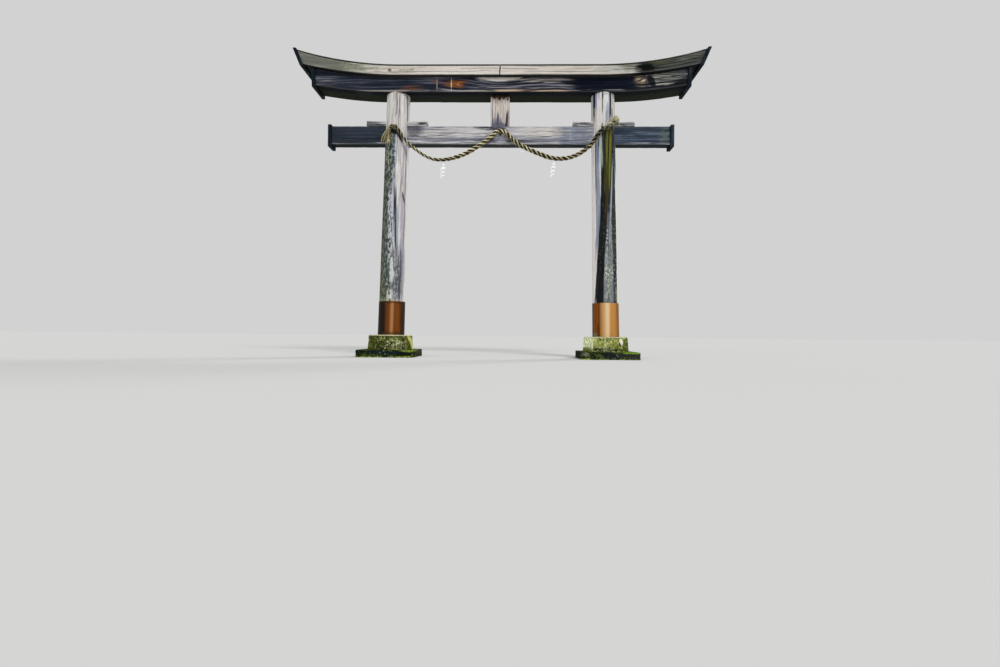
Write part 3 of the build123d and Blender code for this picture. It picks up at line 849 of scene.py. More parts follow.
def makeTassel(look):
    dice = np.random.default_rng(look["seed"])
    low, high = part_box("rope_tassel_left")
    top = rope["line"][0]
    straws = []
    for number in range(look["straws"]):
        place, tone, short = look["locks"][number % len(look["locks"])]
        angle, reach = dice.uniform(0, 2 * pi), 0.034 * sqrt(dice.random())
        out = np.array((cos(angle), 0.7 * sin(angle), 0.3 * sin(angle)))
        start = top + out * reach + rope["ways"][0] * 0.03
        share = min(max(place + dice.normal(0, 0.028), 0.0), 1.0)
        endX = low[0] + 0.012 + share * (high[0] - low[0] - 0.03)
        endY = low[1] + 0.012 + dice.random() * 0.06
        drop = short + dice.uniform(0.0, 0.05) + 0.06 * abs(share - 0.35)
        tone += dice.uniform(-0.07, 0.07)
        end = np.array((endX, endY, low[2] + 0.006 + drop))
        middle = (start + end) / 2 + np.array(((endX - top[0]) * 0.28, -0.012, 0.07 * (0.5 + share * 0.2)))
        straws.append((start, middle, end, dice.uniform(0.0014, 0.0028), tone))
    return strawMesh("ropeTasselLeft", straws, straw, "rope_tassel_left")


makeTassel(tasselLook)
tasselTie = twineMesh("ropeTasselTie", rope["line"][3], rope["ways"][3], tasselLook["tie"])

print("rope made, length", round(rope["length"], 3))


def postX(z):
    return timbers["footX"] - postLean * (z - timbers["footZ"])


def postRadius(z):
    return timbers["footRadius"] - postTaper * (z - timbers["footZ"])


def climb(x, start, radius):
    past = np.maximum(np.abs(x) - start, 0)
    return radius - np.sqrt(radius ** 2 - past ** 2)


def lowerUnder(x):
    return timbers["undersideZ"] + climb(x, timbers["lowerBend"], timbers["lowerRadius"])


def upperUnder(x):
    return timbers["lowerTop"] + climb(x, timbers["upperBend"], timbers["underRadius"])


def upperEdge(x):
    return timbers["upperEdge"] + climb(x, timbers["upperBend"], timbers["topRadius"])


# Posts: round logs that lean inwards, with drying cracks and long flutes. A flute has its place and its turn
# round the post in radians, and its width and depth
postLook = {
    "left": {
        "seed": 101,
        "cracks": [crack(-0.03, 5.15, 5.68, 0.012, 0.03, -0.03), crack(0.2, 4.1, 5.66, 0.014, 0.035, 0.01),
                   crack(0.11, 3.3, 4.5, 0.014, 0.02, 0.015), crack(0.02, 2.25, 3.5, 0.03, 0.03)],
        "flutes": [(-0.9, 0.02, 0.12, 0.006), (0.02, 0.0, 0.1, 0.007), (0.55, 0.02, 0.1, 0.008)],
    },
    "right": {
        "seed": 211,
        "cracks": [crack(-0.97, 5.1, 5.68, 0.034, 0.035, -0.02), crack(-0.19, 5.2, 5.67, 0.012, 0.03, 0.005),
                   crack(0.52, 4.7, 5.68, 0.03, 0.03), crack(0.72, 2.9, 5.3, 0.012, 0.03),
                   crack(-0.42, 1.2, 4.4, 0.02, 0.02)],
        "flutes": [(-0.3, 0.12, 0.13, 0.016), (0.16, 0.13, 0.12, 0.018), (0.75, 0.1, 0.12, 0.012),
                   (-0.75, 0.1, 0.1, 0.01)],
    },
}
# "scatter" in this and the next ones: how many cracks, the two ends, least and most width, depth and length
postWear = {"spacing": 0.0105, "grain": 0.9, "ripple": 0.004, "broad": 0.005, "arris": 0.0,
            "scatter": (16, 1.2, 5.6, (0.008, 0.014), (0.01, 0.026), (0.5, 2.2))}


def makePost(side, look, material):
    sign, foot = signs[side], timbers["footRadius"]
    ring = roundRing(foot)

    def place(z, a, b):
        size = postRadius(z) / foot
        return np.stack([sign * postX(z) + a * size, b * size, z], axis=-1)

    def hollowOf(at, turn, wide, deep):
        def hollow(z, s, total):
            gap = roundGap(s, (at + turn * (z - 3.0)) * foot, total)
            fade = np.clip((timbers["headZ"] - 0.1 - z) / 0.5, 0, 1)
            return deep * np.exp(-(gap / (wide * 0.5)) ** 2) * (0.4 + 0.6 * fade)
        return hollow

    wear = dict(postWear, hollows=[hollowOf(*flute) for flute in look["flutes"]])
    own = [dict(each, around=(each["around"] * foot) % ring["length"]) for each in look["cracks"]]
    along = np.linspace(timbers["footZ"], timbers["headZ"], 175)
    return makeTimber(f"post{side.capitalize()}", f"pillar_{side}", "post_timber", material,
                      along, ring, place, wear, look["seed"], own)


postTones = [(0.12, (0.13, 0.125, 0.13)), (0.3, (0.43, 0.41, 0.4)), (0.5, (0.67, 0.64, 0.615)),
             (0.8, (0.83, 0.79, 0.76))]
leftPostMarks = [
    # painted shade: a lavender right flank with a darker shadow line in it, and a painted highlight along the
    # pale edge beyond it
    strip(0.27, 3.3, 0.075, 1.9, (0.4, 0.37, 0.44), 0.7, 1.2, streaks=0.42),
    strip(0.22, 2.9, 0.03, 1.2, (0.36, 0.34, 0.41), 0.7, 1.2, tilt=-1),
    strip(0.29, 3.0, 0.018, 1.6, (0.15, 0.14, 0.18), 0.75, 1.2, tilt=0.5),
    strip(0.4, 3.2, 0.055, 2.6, (0.74, 0.71, 0.68), 0.8, 0.5),
    # mottled dark flank below the rope, olive at its left, greyer towards the front
    strip(-0.4, 2.92, 0.43, 1.9, (0.028, 0.038, 0.037), 0.96, 0.9, tilt=-0.8, soft=0.05),
    strip(-0.4, 2.92, 0.41, 1.9, (0.3, 0.35, 0.32), 0.95, 0.6, tilt=-0.8, soft=0.1, specks=0.5),
    strip(-0.36, 2.5, 0.26, 1.5, (0.115, 0.125, 0.065), 0.65, 1.5, specks=0.47),
    oval(-0.14, 4.25, 0.035, 0.18, (0.36, 0.37, 0.2), 0.9, 2.5, specks=0.45),
    strip(-0.01, 2.75, 0.075, 0.8, (0.5, 0.53, 0.56), 0.9, 0.9, tilt=-2.0, soft=0.2, specks=0.46),
    strip(0.0, 4.42, 0.038, 0.42, (0.055, 0.075, 0.095), 0.9, 0.9, soft=0.2),
    strip(0.0, 4.42, 0.04, 0.42, (0.45, 0.52, 0.58), 0.85, 0.9, specks=0.53),
    strip(0.045, 4.2, 0.02, 0.6, (0.6, 0.63, 0.68), 0.6, 0.8, tilt=-1.0),
    oval(0.0, 3.4, 0.03, 0.42, (0.5, 0.48, 0.56), 0.8, 1.2),
    # dark streak down the front, and the blue-grey one beside it
    strip(0.08, 2.85, 0.03, 0.68, (0.014, 0.024, 0.055), 0.97, 0.9, tilt=-2.6, soft=0.35),
    strip(0.125, 2.5, 0.022, 0.6, (0.27, 0.33, 0.41), 0.85, 1.0, tilt=-2.0),
    # foot: grey and dark mottling, a whitish patch, and green at the copper
    oval(0.2, 1.75, 0.16, 0.66, (0.3, 0.3, 0.33), 0.85, 1.2, soft=0.4),
    oval(0.1, 1.7, 0.17, 0.52, (0.06, 0.065, 0.075), 0.85, 2.2, specks=0.46),
    oval(0.14, 1.7, 0.1, 0.55, (0.08, 0.09, 0.11), 0.85, 2.0, streaks=0.44),
    oval(0.22, 1.65, 0.035, 0.55, (0.07, 0.085, 0.095), 0.85, 1.6, streaks=0.42),
    oval(0.025, 1.83, 0.06, 0.25, (0.58, 0.63, 0.6), 0.95, 3.5, tilt=-5, soft=0.2),
    oval(-0.02, 1.75, 0.05, 0.2, (0.04, 0.05, 0.045), 0.85, 3.5, specks=0.5),
    oval(0.0, 1.32, 0.07, 0.16, (0.56, 0.6, 0.54), 0.85, 3.0, specks=0.44),
    oval(-0.2, 1.45, 0.16, 0.35, (0.17, 0.19, 0.1), 0.6, 2.5, specks=0.47),
    strip(-0.12, 1.195, 0.34, 0.03, (0.4, 0.36, 0.2), 0.6, 3.5, specks=0.45),
    # knot with its pale halo
    oval(0.21, 3.6, 0.03, 0.11, (0.62, 0.58, 0.46), 0.5, 1.6),
    oval(0.25, 3.42, 0.022, 0.14, (0.03, 0.025, 0.045), 0.95, 1.6, tilt=-16),
    # head: thin dark lines down from the lintel, painted shade in the corner at the right with a painted
    # highlight along the pale edge beyond it, and a painted shadow under the rope
    oval(0.02, 5.52, 0.009, 0.17, (0.06, 0.04, 0.035), 0.85, 1.0, tilt=-4),
    oval(0.085, 5.42, 0.008, 0.24, (0.09, 0.08, 0.075), 0.8, 1.0, tilt=-4),
    oval(0.1, 5.64, 0.1, 0.02, (0.25, 0.12, 0.06), 0.7, 2.0),
    oval(-0.06, 5.2, 0.008, 0.2, (0.16, 0.15, 0.15), 0.6, 1.0),
    oval(-0.16, 5.15, 0.02, 0.35, (0.58, 0.6, 0.45), 0.6, 2.0),
    strip(0.305, 5.3, 0.03, 0.42, (0.11, 0.1, 0.135), 0.75, 1.0, tilt=-5),
    strip(0.4, 5.25, 0.05, 0.5, (0.74, 0.67, 0.56), 0.9, 0.6),
    oval(-0.01, 4.82, 0.085, 0.075, (0.007, 0.009, 0.014), 0.97, 0.8),
    oval(0.115, 4.7, 0.035, 0.13, (0.012, 0.015, 0.028), 0.95, 1.0, tilt=-38),
    # the far side: the mottled flank and the pale wood run into one another
    strip(-0.79, 2.9, 0.1, 1.95, (0.5, 0.5, 0.48), 0.85, 3.0, streaks=0.46),
    strip(0.79, 2.9, 0.07, 1.85, (0.1, 0.12, 0.11), 0.85, 3.0, streaks=0.45),
    strip(-0.72, 2.5, 0.1, 2.2, (0.11, 0.12, 0.1), 0.7, 2.0, streaks=0.42),
    strip(0.7, 2.2, 0.12, 1.6, (0.1, 0.1, 0.09), 0.6, 2.4, streaks=0.45),
]
rightPostMarks = [
    # head: pale ribs, painted shade in a navy hollow at the left, a painted blue-grey shade, and painted
    # shade in a dark hollow at the right
    strip(-0.36, 5.36, 0.055, 0.4, (0.6, 0.6, 0.57), 0.8, 0.8),
    strip(-0.13, 5.3, 0.055, 0.42, (0.76, 0.72, 0.69), 0.8, 0.8),
    strip(0.035, 5.44, 0.05, 0.24, (0.66, 0.69, 0.68), 0.85, 0.9),
    oval(0.06, 5.22, 0.042, 0.22, (0.27, 0.3, 0.41), 0.85, 2.0, tilt=4, soft=0.6),
    oval(0.015, 5.08, 0.014, 0.2, (0.34, 0.38, 0.5), 0.7, 1.2, tilt=6),
    strip(-0.212, 5.5, 0.02, 0.18, (0.28, 0.31, 0.5), 0.85, 0.8, tilt=4),
    strip(-0.27, 5.52, 0.036, 0.17, (0.006, 0.009, 0.05), 0.99, 0.5, tilt=2, soft=0.15),
    oval(-0.282, 5.32, 0.022, 0.17, (0.03, 0.035, 0.08), 0.9, 0.8, tilt=3),
    oval(-0.05, 5.6, 0.02, 0.13, (0.014, 0.014, 0.03), 0.96, 0.8, tilt=2),
    oval(-0.062, 5.38, 0.012, 0.22, (0.18, 0.18, 0.22), 0.85, 0.8, tilt=2),
    oval(-0.14, 5.6, 0.01, 0.09, (0.16, 0.15, 0.18), 0.8, 0.8),
    oval(0.0, 5.62, 0.1, 0.03, (0.3, 0.3, 0.34), 0.6, 2.0),
    strip(0.14, 5.42, 0.029, 0.27, (0.022, 0.027, 0.042), 0.96, 0.8, soft=0.2),
    oval(0.13, 5.06, 0.016, 0.16, (0.06, 0.07, 0.1), 0.9, 1.0),
    strip(0.235, 5.34, 0.05, 0.34, (0.66, 0.64, 0.58), 0.9, 0.6),
    oval(0.192, 5.24, 0.01, 0.12, (0.03, 0.03, 0.045), 0.9, 0.8),
    oval(0.205, 5.52, 0.009, 0.12, (0.1, 0.11, 0.11), 0.8, 0.8),
    # shade and dirt straight under the rope
    strip(0.06, 4.8, 0.19, 0.045, (0.012, 0.014, 0.014), 0.95, 0.9, tilt=-38, soft=0.5),
    # below the rope: dark ground of the middle, then from the left a pale strip, a blue line,
    # a blue-grey strip and a pale line
    strip(0.1, 4.05, 0.2, 0.85, (0.022, 0.027, 0.027), 0.97, 0.7, tilt=1.6, soft=0.12),
    strip(0.04, 2.2, 0.25, 1.15, (0.022, 0.027, 0.03), 0.97, 0.7, tilt=2.5, soft=0.12),
    strip(-0.34, 3.0, 0.09, 1.85, (0.97, 0.92, 0.9), 0.92, 0.8, soft=0.15),
    strip(-0.187, 3.5, 0.055, 1.2, (0.27, 0.31, 0.4), 0.92, 0.8, tilt=0.4, soft=0.2),
    oval(-0.243, 4.1, 0.014, 0.62, (0.05, 0.08, 0.15), 0.9, 0.6),
    strip(-0.2, 4.1, 0.032, 0.62, (0.055, 0.085, 0.14), 0.85, 0.9, streaks=0.47),
    strip(-0.18, 3.3, 0.04, 0.9, (0.46, 0.48, 0.56), 0.7, 0.9, streaks=0.52),
    oval(-0.128, 4.22, 0.026, 0.48, (0.6, 0.63, 0.62), 0.9, 0.9, tilt=1.5),
    oval(-0.27, 2.3, 0.01, 0.4, (0.25, 0.19, 0.27), 0.8, 0.9, tilt=3),
    # grey lichen widening towards the foot, speckled, with a yellow-white crust
    strip(0.068, 2.68, 0.046, 0.42, (0.2, 0.225, 0.225), 0.96, 0.8, tilt=-1, soft=0.2),
    strip(0.02, 1.8, 0.115, 0.62, (0.17, 0.19, 0.185), 0.96, 0.8, soft=0.15),
    strip(0.045, 2.05, 0.11, 0.95, (0.03, 0.036, 0.038), 0.9, 0.8, specks=0.5),
    strip(0.03, 1.98, 0.1, 0.86, (0.46, 0.49, 0.48), 0.8, 0.8, specks=0.5),
    strip(0.19, 1.85, 0.07, 0.6, (0.44, 0.47, 0.46), 0.85, 1.2, specks=0.55),
    oval(0.035, 1.83, 0.085, 0.13, (0.66, 0.7, 0.5), 0.95, 3.4, specks=0.51),
    oval(0.03, 1.52, 0.024, 0.24, (0.42, 0.46, 0.27), 0.85, 3.0, specks=0.46),
    oval(0.025, 1.3, 0.012, 0.1, (0.04, 0.06, 0.01), 0.9, 1.5),
    oval(0.115, 1.45, 0.055, 0.22, (0.17, 0.16, 0.27), 0.85, 3.0, specks=0.49),
    oval(0.225, 1.5, 0.045, 0.25, (0.36, 0.42, 0.17), 0.85, 2.0, specks=0.47),
    # the dark run-off from the rope, drifting left as it widens down to the copper
    strip(-0.07, 4.05, 0.04, 0.85, (0.014, 0.015, 0.014), 0.98, 0.7, tilt=1.0, soft=0.15),
    strip(-0.105, 2.45, 0.078, 1.0, (0.01, 0.012, 0.011), 0.98, 0.7, tilt=4.2, soft=0.15),
    strip(-0.19, 1.74, 0.072, 0.56, (0.01, 0.012, 0.014), 0.98, 0.8, tilt=5.5, soft=0.2),
    strip(-0.175, 1.33, 0.085, 0.24, (0.01, 0.012, 0.016), 0.98, 0.8, tilt=3, soft=0.2),
    oval(-0.215, 1.6, 0.01, 0.3, (0.05, 0.034, 0.022), 0.8, 1.0, tilt=6),
    oval(-0.1, 2.5, 0.05, 0.7, (0.06, 0.08, 0.05), 0.7, 1.0, tilt=5, specks=0.54),
    # algae in the middle with a dark line in it, browner as it narrows
    strip(0.072, 4.3, 0.078, 0.66, (0.06, 0.064, 0.008), 0.97, 0.8, tilt=3.0, soft=0.25),
    strip(-0.098, 4.42, 0.038, 0.36, (0.36, 0.41, 0.36), 0.92, 1.2, tilt=1.5, soft=0.3, streaks=0.46),
    oval(-0.165, 4.6, 0.02, 0.13, (0.035, 0.05, 0.055), 0.9, 1.4, tilt=3, streaks=0.46),
    oval(0.106, 4.25, 0.022, 0.6, (0.145, 0.155, 0.022), 0.92, 1.0, tilt=3.0),
    oval(0.034, 4.45, 0.016, 0.36, (0.14, 0.15, 0.02), 0.9, 1.0, tilt=2.0),
    oval(0.072, 4.45, 0.011, 0.38, (0.016, 0.014, 0.004), 0.95, 0.8, tilt=2.5),
    oval(0.165, 4.58, 0.022, 0.18, (0.26, 0.28, 0.1), 0.85, 1.4, tilt=1.0, streaks=0.45),
    oval(0.02, 3.45, 0.032, 0.55, (0.055, 0.042, 0.02), 0.95, 1.2, tilt=2.5, soft=0.6),
    strip(0.178, 4.1, 0.028, 0.6, (0.012, 0.017, 0.021), 0.96, 0.7, tilt=2.6, soft=0.15),
    # grey-blue streak and speckled dark strip at the right, then a painted highlight along the bright edge
    strip(0.128, 3.52, 0.015, 0.66, (0.36, 0.4, 0.47), 0.9, 0.9, tilt=3.6),
    strip(0.225, 3.8, 0.045, 1.15, (0.028, 0.036, 0.04), 0.95, 0.8, tilt=1.0, soft=0.2),
    strip(0.205, 2.6, 0.05, 1.3, (0.022, 0.028, 0.034), 0.85, 0.8, soft=0.2, streaks=0.4),
    strip(0.215, 3.0, 0.045, 1.6, (0.36, 0.4, 0.38), 0.8, 0.8, specks=0.58),
    strip(0.33, 4.33, 0.075, 0.5, (0.05, 0.062, 0.07), 0.92, 0.9, soft=0.3, streaks=0.4),
    strip(0.335, 2.45, 0.062, 1.48, (0.74, 0.77, 0.62), 0.95, 0.5, soft=0.15),
    # the far side
    strip(0.72, 2.8, 0.13, 2.2, (0.09, 0.095, 0.09), 0.75, 1.8, tilt=2.0, streaks=0.42),
    strip(-0.7, 2.4, 0.12, 1.8, (0.13, 0.14, 0.12), 0.65, 2.2, tilt=2.0, streaks=0.43),
]
postMaterials = {
    "left": timberMaterial({
        "name": "leftPostTimber", "grain": "z", "side": -1, "tones": postTones, "shares": (0.6, 1.0, 1.1),
        "splitFrom": 0.36, "speckScale": 24.0, "speckLong": 11.0, "marks": leftPostMarks,
    }),
    "right": timberMaterial({
        "name": "rightPostTimber", "grain": "z", "side": 1, "twist": 0.13, "offset": (3.0, 1.0, 2.0),
        "tones": postTones, "shares": (0.6, 1.5, 1.3), "splitFrom": 0.37, "speckScale": 34.0,
        "speckLong": 20.0, "marks": rightPostMarks,
    }),
}
for side in signs:
    makePost(side, postLook[side], postMaterials[side])
print("posts made")

# Tie beam through both posts
tieLook = {"spacing": 0.01, "grain": 0.9, "ripple": 0.0035, "broad": 0.003, "arris": 0.006, "round": 0.008,
           "scatter": (12, -3.6, 3.6, (0.006, 0.01), (0.006, 0.015), (0.6, 2.2)), "seed": 307}


def makeTieBeam(look, material):
    half = timbers["tieDeep"] / 2
    ring = boxRing(-half, half, timbers["tieLow"], timbers["tieHigh"], look["round"])
    along = np.linspace(-timbers["tieEnd"], timbers["tieEnd"], 215)
    own = [crack(0.14, -3.6, -1.9, 0.01, 0.02), crack(0.25, -1.9, 0.3, 0.008, 0.012),
           crack(0.1, -0.2, 1.9, 0.008, 0.015), crack(0.28, 1.0, 3.3, 0.01, 0.018)]
    return makeTimber("tieBeam", "tie_beam", "beam_timber", material, along, ring,
                      lambda x, y, z: np.stack([x, y, z], axis=-1), look, look["seed"], own)


tieMarks = [
    # slate-dark ends, and the darker top of the middle stretch beside each post
    strip(-3.1, 4.78, 0.95, 0.3, (0.011, 0.02, 0.034), 0.97, 0.8, soft=0.15),
    oval(-3.0, 4.84, 0.7, 0.12, (0.036, 0.048, 0.07), 0.8, 3.5, streaks=0.5),
    oval(-1.85, 4.9, 0.22, 0.16, (0.06, 0.06, 0.08), 0.8, 2.0),
    strip(3.1, 4.78, 0.9, 0.3, (0.022, 0.037, 0.062), 0.96, 0.8, soft=0.15),
    oval(2.9, 4.75, 0.8, 0.14, (0.105, 0.135, 0.19), 0.85, 3.5, streaks=0.49),
    oval(3.5, 4.8, 0.12, 0.2, (0.13, 0.17, 0.13), 0.6, 2.5, specks=0.47),
    strip(1.62, 4.76, 0.36, 0.3, (0.15, 0.175, 0.235), 0.8, 2.2, streaks=0.36),
    oval(1.52, 4.79, 0.09, 0.14, (0.36, 0.39, 0.46), 0.5, 3.5, specks=0.44),
    # stains above and left of the rope's crest, the rope's painted shadow beside its left flank, and the pale
    # wood that it keeps dry
    oval(-0.3, 4.935, 0.26, 0.055, (0.022, 0.024, 0.036), 0.95, 2.5, tilt=6),
    oval(0.02, 4.9, 0.14, 0.07, (0.03, 0.03, 0.045), 0.9, 1.8),
    oval(-0.23, 4.72, 0.1, 0.09, (0.1, 0.1, 0.14), 0.75, 1.5, tilt=-30),
    oval(0.02, 4.69, 0.13, 0.08, (0.47, 0.46, 0.54), 0.8, 1.5),
    strip(0.0, 4.61, 3.5, 0.022, (0.6, 0.58, 0.57), 0.5, 2.0, streaks=0.47),
    # warm pale faces of the middle stretch
    oval(-1.0, 4.86, 0.8, 0.09, (0.58, 0.55, 0.53), 0.6, 3.0, streaks=0.4),
    oval(0.85, 4.86, 0.5, 0.1, (0.6, 0.56, 0.5), 0.65, 3.0, streaks=0.4),
    oval(-1.0, 4.7, 0.9, 0.035, (0.1, 0.105, 0.14), 0.7, 3.5, streaks=0.44),
    oval(0.6, 4.66, 0.8, 0.03, (0.11, 0.115, 0.15), 0.7, 3.5, streaks=0.44),
]
tieMaterial = timberMaterial({
    "name": "tieBeamTimber", "grain": "x", "faceY": -0.11, "shares": (1.0, 1.7, 1.2), "split": 0.75,
    "splitFrom": 0.42,
    "tones": [(0.1, (0.09, 0.095, 0.12)), (0.35, (0.27, 0.275, 0.315)), (0.55, (0.44, 0.44, 0.475)),
              (0.85, (0.66, 0.645, 0.65))],
    # painted shade on the underside, near-black blue at the front and dark olive at the back
    "under": ((0.006, 0.01, 0.014), (0.02, 0.026, 0.02)), "underFrom": -0.11, "underTo": 0.11,
    "bends": [bend(0.9, 4.82, 0.35, 0.12, part=0.5), bend(-1.3, 4.75, 0.5, 0.3, lift=0.05)],
    "arrisStrength": 0.3, "arrisColour": (0.55, 0.55, 0.56), "top": (0.17, 0.2, 0.09),
    "marks": tieMarks,
})
makeTieBeam(tieLook, tieMaterial)

# Lower lintel, which curves up towards both ends. Its "height" is the one in the middle
lowerLook = {"spacing": 0.011, "grain": 0.25, "ripple": 0.004, "broad": 0.005, "arris": 0.007, "round": 0.01,
             "scatter": (14, -0.98, 0.98, (0.006, 0.011), (0.006, 0.016), (0.15, 0.55)), "wander": 0.01,
             "height": 0.323, "seed": 401}


def makeLowerLintel(look, material):
    half = timbers["lowerDeep"] / 2
    ring = boxRing(-half, half, 0.0, look["height"], look["round"])

    def place(t, y, h):
        share = h / look["height"]
        x = t * (timbers["lowerEnd"] + timbers["lowerLean"] * share)
        low, high = lowerUnder(x), upperUnder(x)
        return np.stack([x, y, low + (high - low) * share], axis=-1)

    own = [crack(0.07, -0.62, 0.1, 0.01, 0.018), crack(0.17, -0.2, 0.62, 0.01, 0.015),
           crack(0.24, 0.05, 0.7, 0.008, 0.012), crack(0.12, 0.72, 0.99, 0.016, 0.03),
           crack(0.21, 0.8, 0.99, 0.014, 0.03), crack(0.05, 0.78, 0.99, 0.014, 0.025)]
    return makeTimber("lowerLintel", "lower_lintel", "beam_timber", material,
                      np.linspace(-1, 1, 235), ring, place, look, look["seed"], own)


lowerMarks = [
    # dark ground at the left, then a streaked lavender-grey stretch beside and under the pale lens
    strip(-2.75, 5.82, 1.15, 0.25, (0.01, 0.016, 0.027), 0.65, 1.5, soft=0.3),
    oval(0.55, 5.86, 1.3, 0.09, (0.15, 0.145, 0.175), 0.8, 2.6, streaks=0.47),
    oval(-0.9, 5.88, 1.0, 0.07, (0.1, 0.1, 0.135), 0.8, 2.6, streaks=0.5),
    oval(-2.9, 5.9, 1.1, 0.11, (0.06, 0.075, 0.095), 0.8, 2.8, streaks=0.49),
    oval(0.95, 5.9, 0.55, 0.045, (0.4, 0.36, 0.33), 0.75, 3.0, streaks=0.43),
    # the pale lens itself
    oval(-0.02, 5.985, 0.5, 0.105, (0.66, 0.62, 0.56), 0.97, 0.7, soft=0.12),
    # rusty and brown worn places with yellow specks
    oval(-0.91, 5.825, 0.2, 0.065, (0.17, 0.06, 0.018), 0.93, 4.0, soft=0.35),
    oval(-0.87, 5.82, 0.13, 0.035, (0.52, 0.22, 0.05), 0.95, 4.5, specks=0.49),
    oval(-1.04, 5.82, 0.015, 0.05, (0.55, 0.36, 0.1), 0.9, 2.0),
    oval(-1.88, 5.735, 0.24, 0.045, (0.15, 0.06, 0.03), 0.9, 4.5, streaks=0.44),
    oval(-1.25, 5.87, 0.2, 0.03, (0.2, 0.075, 0.04), 0.6, 4.5, streaks=0.48),
    # two pale drip lines
    oval(-1.345, 5.81, 0.008, 0.15, (0.42, 0.38, 0.36), 0.7, 0.8),
    oval(-1.036, 5.8, 0.009, 0.16, (0.5, 0.44, 0.38), 0.8, 0.8),
    # worn lower arris, pale left of the middle and warm right of it
    strip(-1.6, 5.675, 2.0, 0.013, (0.42, 0.38, 0.34), 0.75, 1.2, streaks=0.44),
    strip(0.75, 5.682, 0.8, 0.018, (0.55, 0.38, 0.26), 0.9, 1.2, streaks=0.4),
    strip(0.9, 5.73, 0.75, 0.02, (0.2, 0.19, 0.22), 0.7, 2.5, streaks=0.44),
    # dark right stretch, its knot, the dark notch beside it and the bleached fibres beyond
    strip(2.25, 5.83, 0.75, 0.24, (0.002, 0.004, 0.011), 0.99, 1.2, soft=0.3),
    oval(3.0, 5.89, 0.17, 0.13, (0.05, 0.045, 0.05), 0.9, 0.9),
    oval(3.0, 5.895, 0.14, 0.1, (0.2, 0.16, 0.1), 0.85, 4.0, soft=0.2, streaks=0.44),
    oval(2.965, 5.915, 0.07, 0.04, (0.05, 0.038, 0.036), 0.85, 4.0, soft=0.3),
    oval(3.02, 5.88, 0.06, 0.026, (0.5, 0.43, 0.27), 0.95, 3.4, tilt=-22, soft=0.2),
    oval(2.93, 5.925, 0.05, 0.012, (0.46, 0.39, 0.3), 0.9, 3.0, tilt=-14),
    strip(1.95, 5.69, 0.55, 0.014, (0.26, 0.26, 0.27), 0.8, 1.6, streaks=0.46),
    strip(3.52, 5.95, 0.36, 0.155, (0.075, 0.08, 0.075), 0.9, 2.2, tilt=-8, soft=0.2),
    oval(3.48, 5.93, 0.34, 0.13, (0.29, 0.29, 0.255), 0.93, 3.0, tilt=-8, streaks=0.46),
    oval(3.42, 5.83, 0.26, 0.03, (0.56, 0.56, 0.48), 0.85, 3.5, tilt=-6, streaks=0.44),
    oval(3.19, 5.88, 0.075, 0.15, (0.008, 0.008, 0.012), 0.97, 0.7, tilt=-28, soft=0.2),
    oval(3.82, 5.83, 0.17, 0.085, (0.006, 0.009, 0.014), 0.97, 1.6, tilt=-14),
]
lowerMaterial = timberMaterial({
    "name": "lowerLintelTimber", "grain": "x", "faceY": -0.25, "shares": (1.5, 1.6, 1.0),
    "tones": [(0.15, (0.003, 0.005, 0.01)), (0.5, (0.012, 0.015, 0.026)), (0.68, (0.045, 0.048, 0.07)),
              (0.84, (0.17, 0.165, 0.19)), (1.0, (0.34, 0.32, 0.31))],
    # painted shade on the underside, near-black at the front and dark olive towards the back
    "under": ((0.003, 0.005, 0.008), (0.017, 0.022, 0.01)), "underFrom": -0.17, "underTo": 0.03,
    "bends": [bend(0.0, 6.02, 0.75, 0.4, lift=0.13), bend(3.0, 5.89, 0.3, 0.16, part=0.85),
              bend(-0.9, 5.8, 0.35, 0.12, part=0.6), bend(1.7, 5.85, 0.5, 0.25, lift=0.05)],
    "arrisStrength": 0.22, "arrisColour": (0.36, 0.33, 0.31),
    "marks": lowerMarks,
})
makeLowerLintel(lowerLook, lowerMaterial)
print("tie beam and lower lintel made")

# Upper lintel in two halves that meet at the middle, its top sloping from a ridge
upperLook = {"spacing": 0.012, "grain": 0.2, "ripple": 0.003, "broad": 0.004, "arris": 0.005, "round": 0.008,
             "scatter": (8, 0.02, 0.98, (0.006, 0.009), (0.005, 0.012), (0.12, 0.4)), "wander": 0.008,
             "endRelief": 0.004, "seed": 503, "seam": 0.0006}


def makeUpperLintel(side, look, material):
    sign, half = signs[side], timbers["upperDeep"] / 2
    thick = timbers["upperEdge"] - timbers["lowerTop"]
    corners = [(-half, 0.0), (-half, thick), (0.0, thick + timbers["ridgeRise"]), (half, thick), (half, 0.0)]

    def place(t, y, h):
        share = np.clip(h / thick, 0, 1)
        x = t * (timbers["upperEnd"] + timbers["upperLean"] * share)
        low, high = upperUnder(x), upperEdge(x)
        return np.stack([sign * x, y, low + (high - low) * share + np.maximum(h - thick, 0)], axis=-1)

    own = [crack(0.135, 0.0, 0.2, 0.008, 0.014), crack(0.07, 0.1, 0.55, 0.007, 0.01)]
    if side == "right":
        own += [crack(0.11, 0.55, 0.98, 0.012, 0.025), crack(0.05, 0.7, 0.98, 0.012, 0.02)]
    along = np.linspace(look["seam"], 1, 150)
    return makeTimber(f"upperLintel{side.capitalize()}", f"upper_lintel_{side}", "lintel_timber", material,
                      along, sectionRing(corners, look["round"]), place, look, look["seed"] + sign, own)


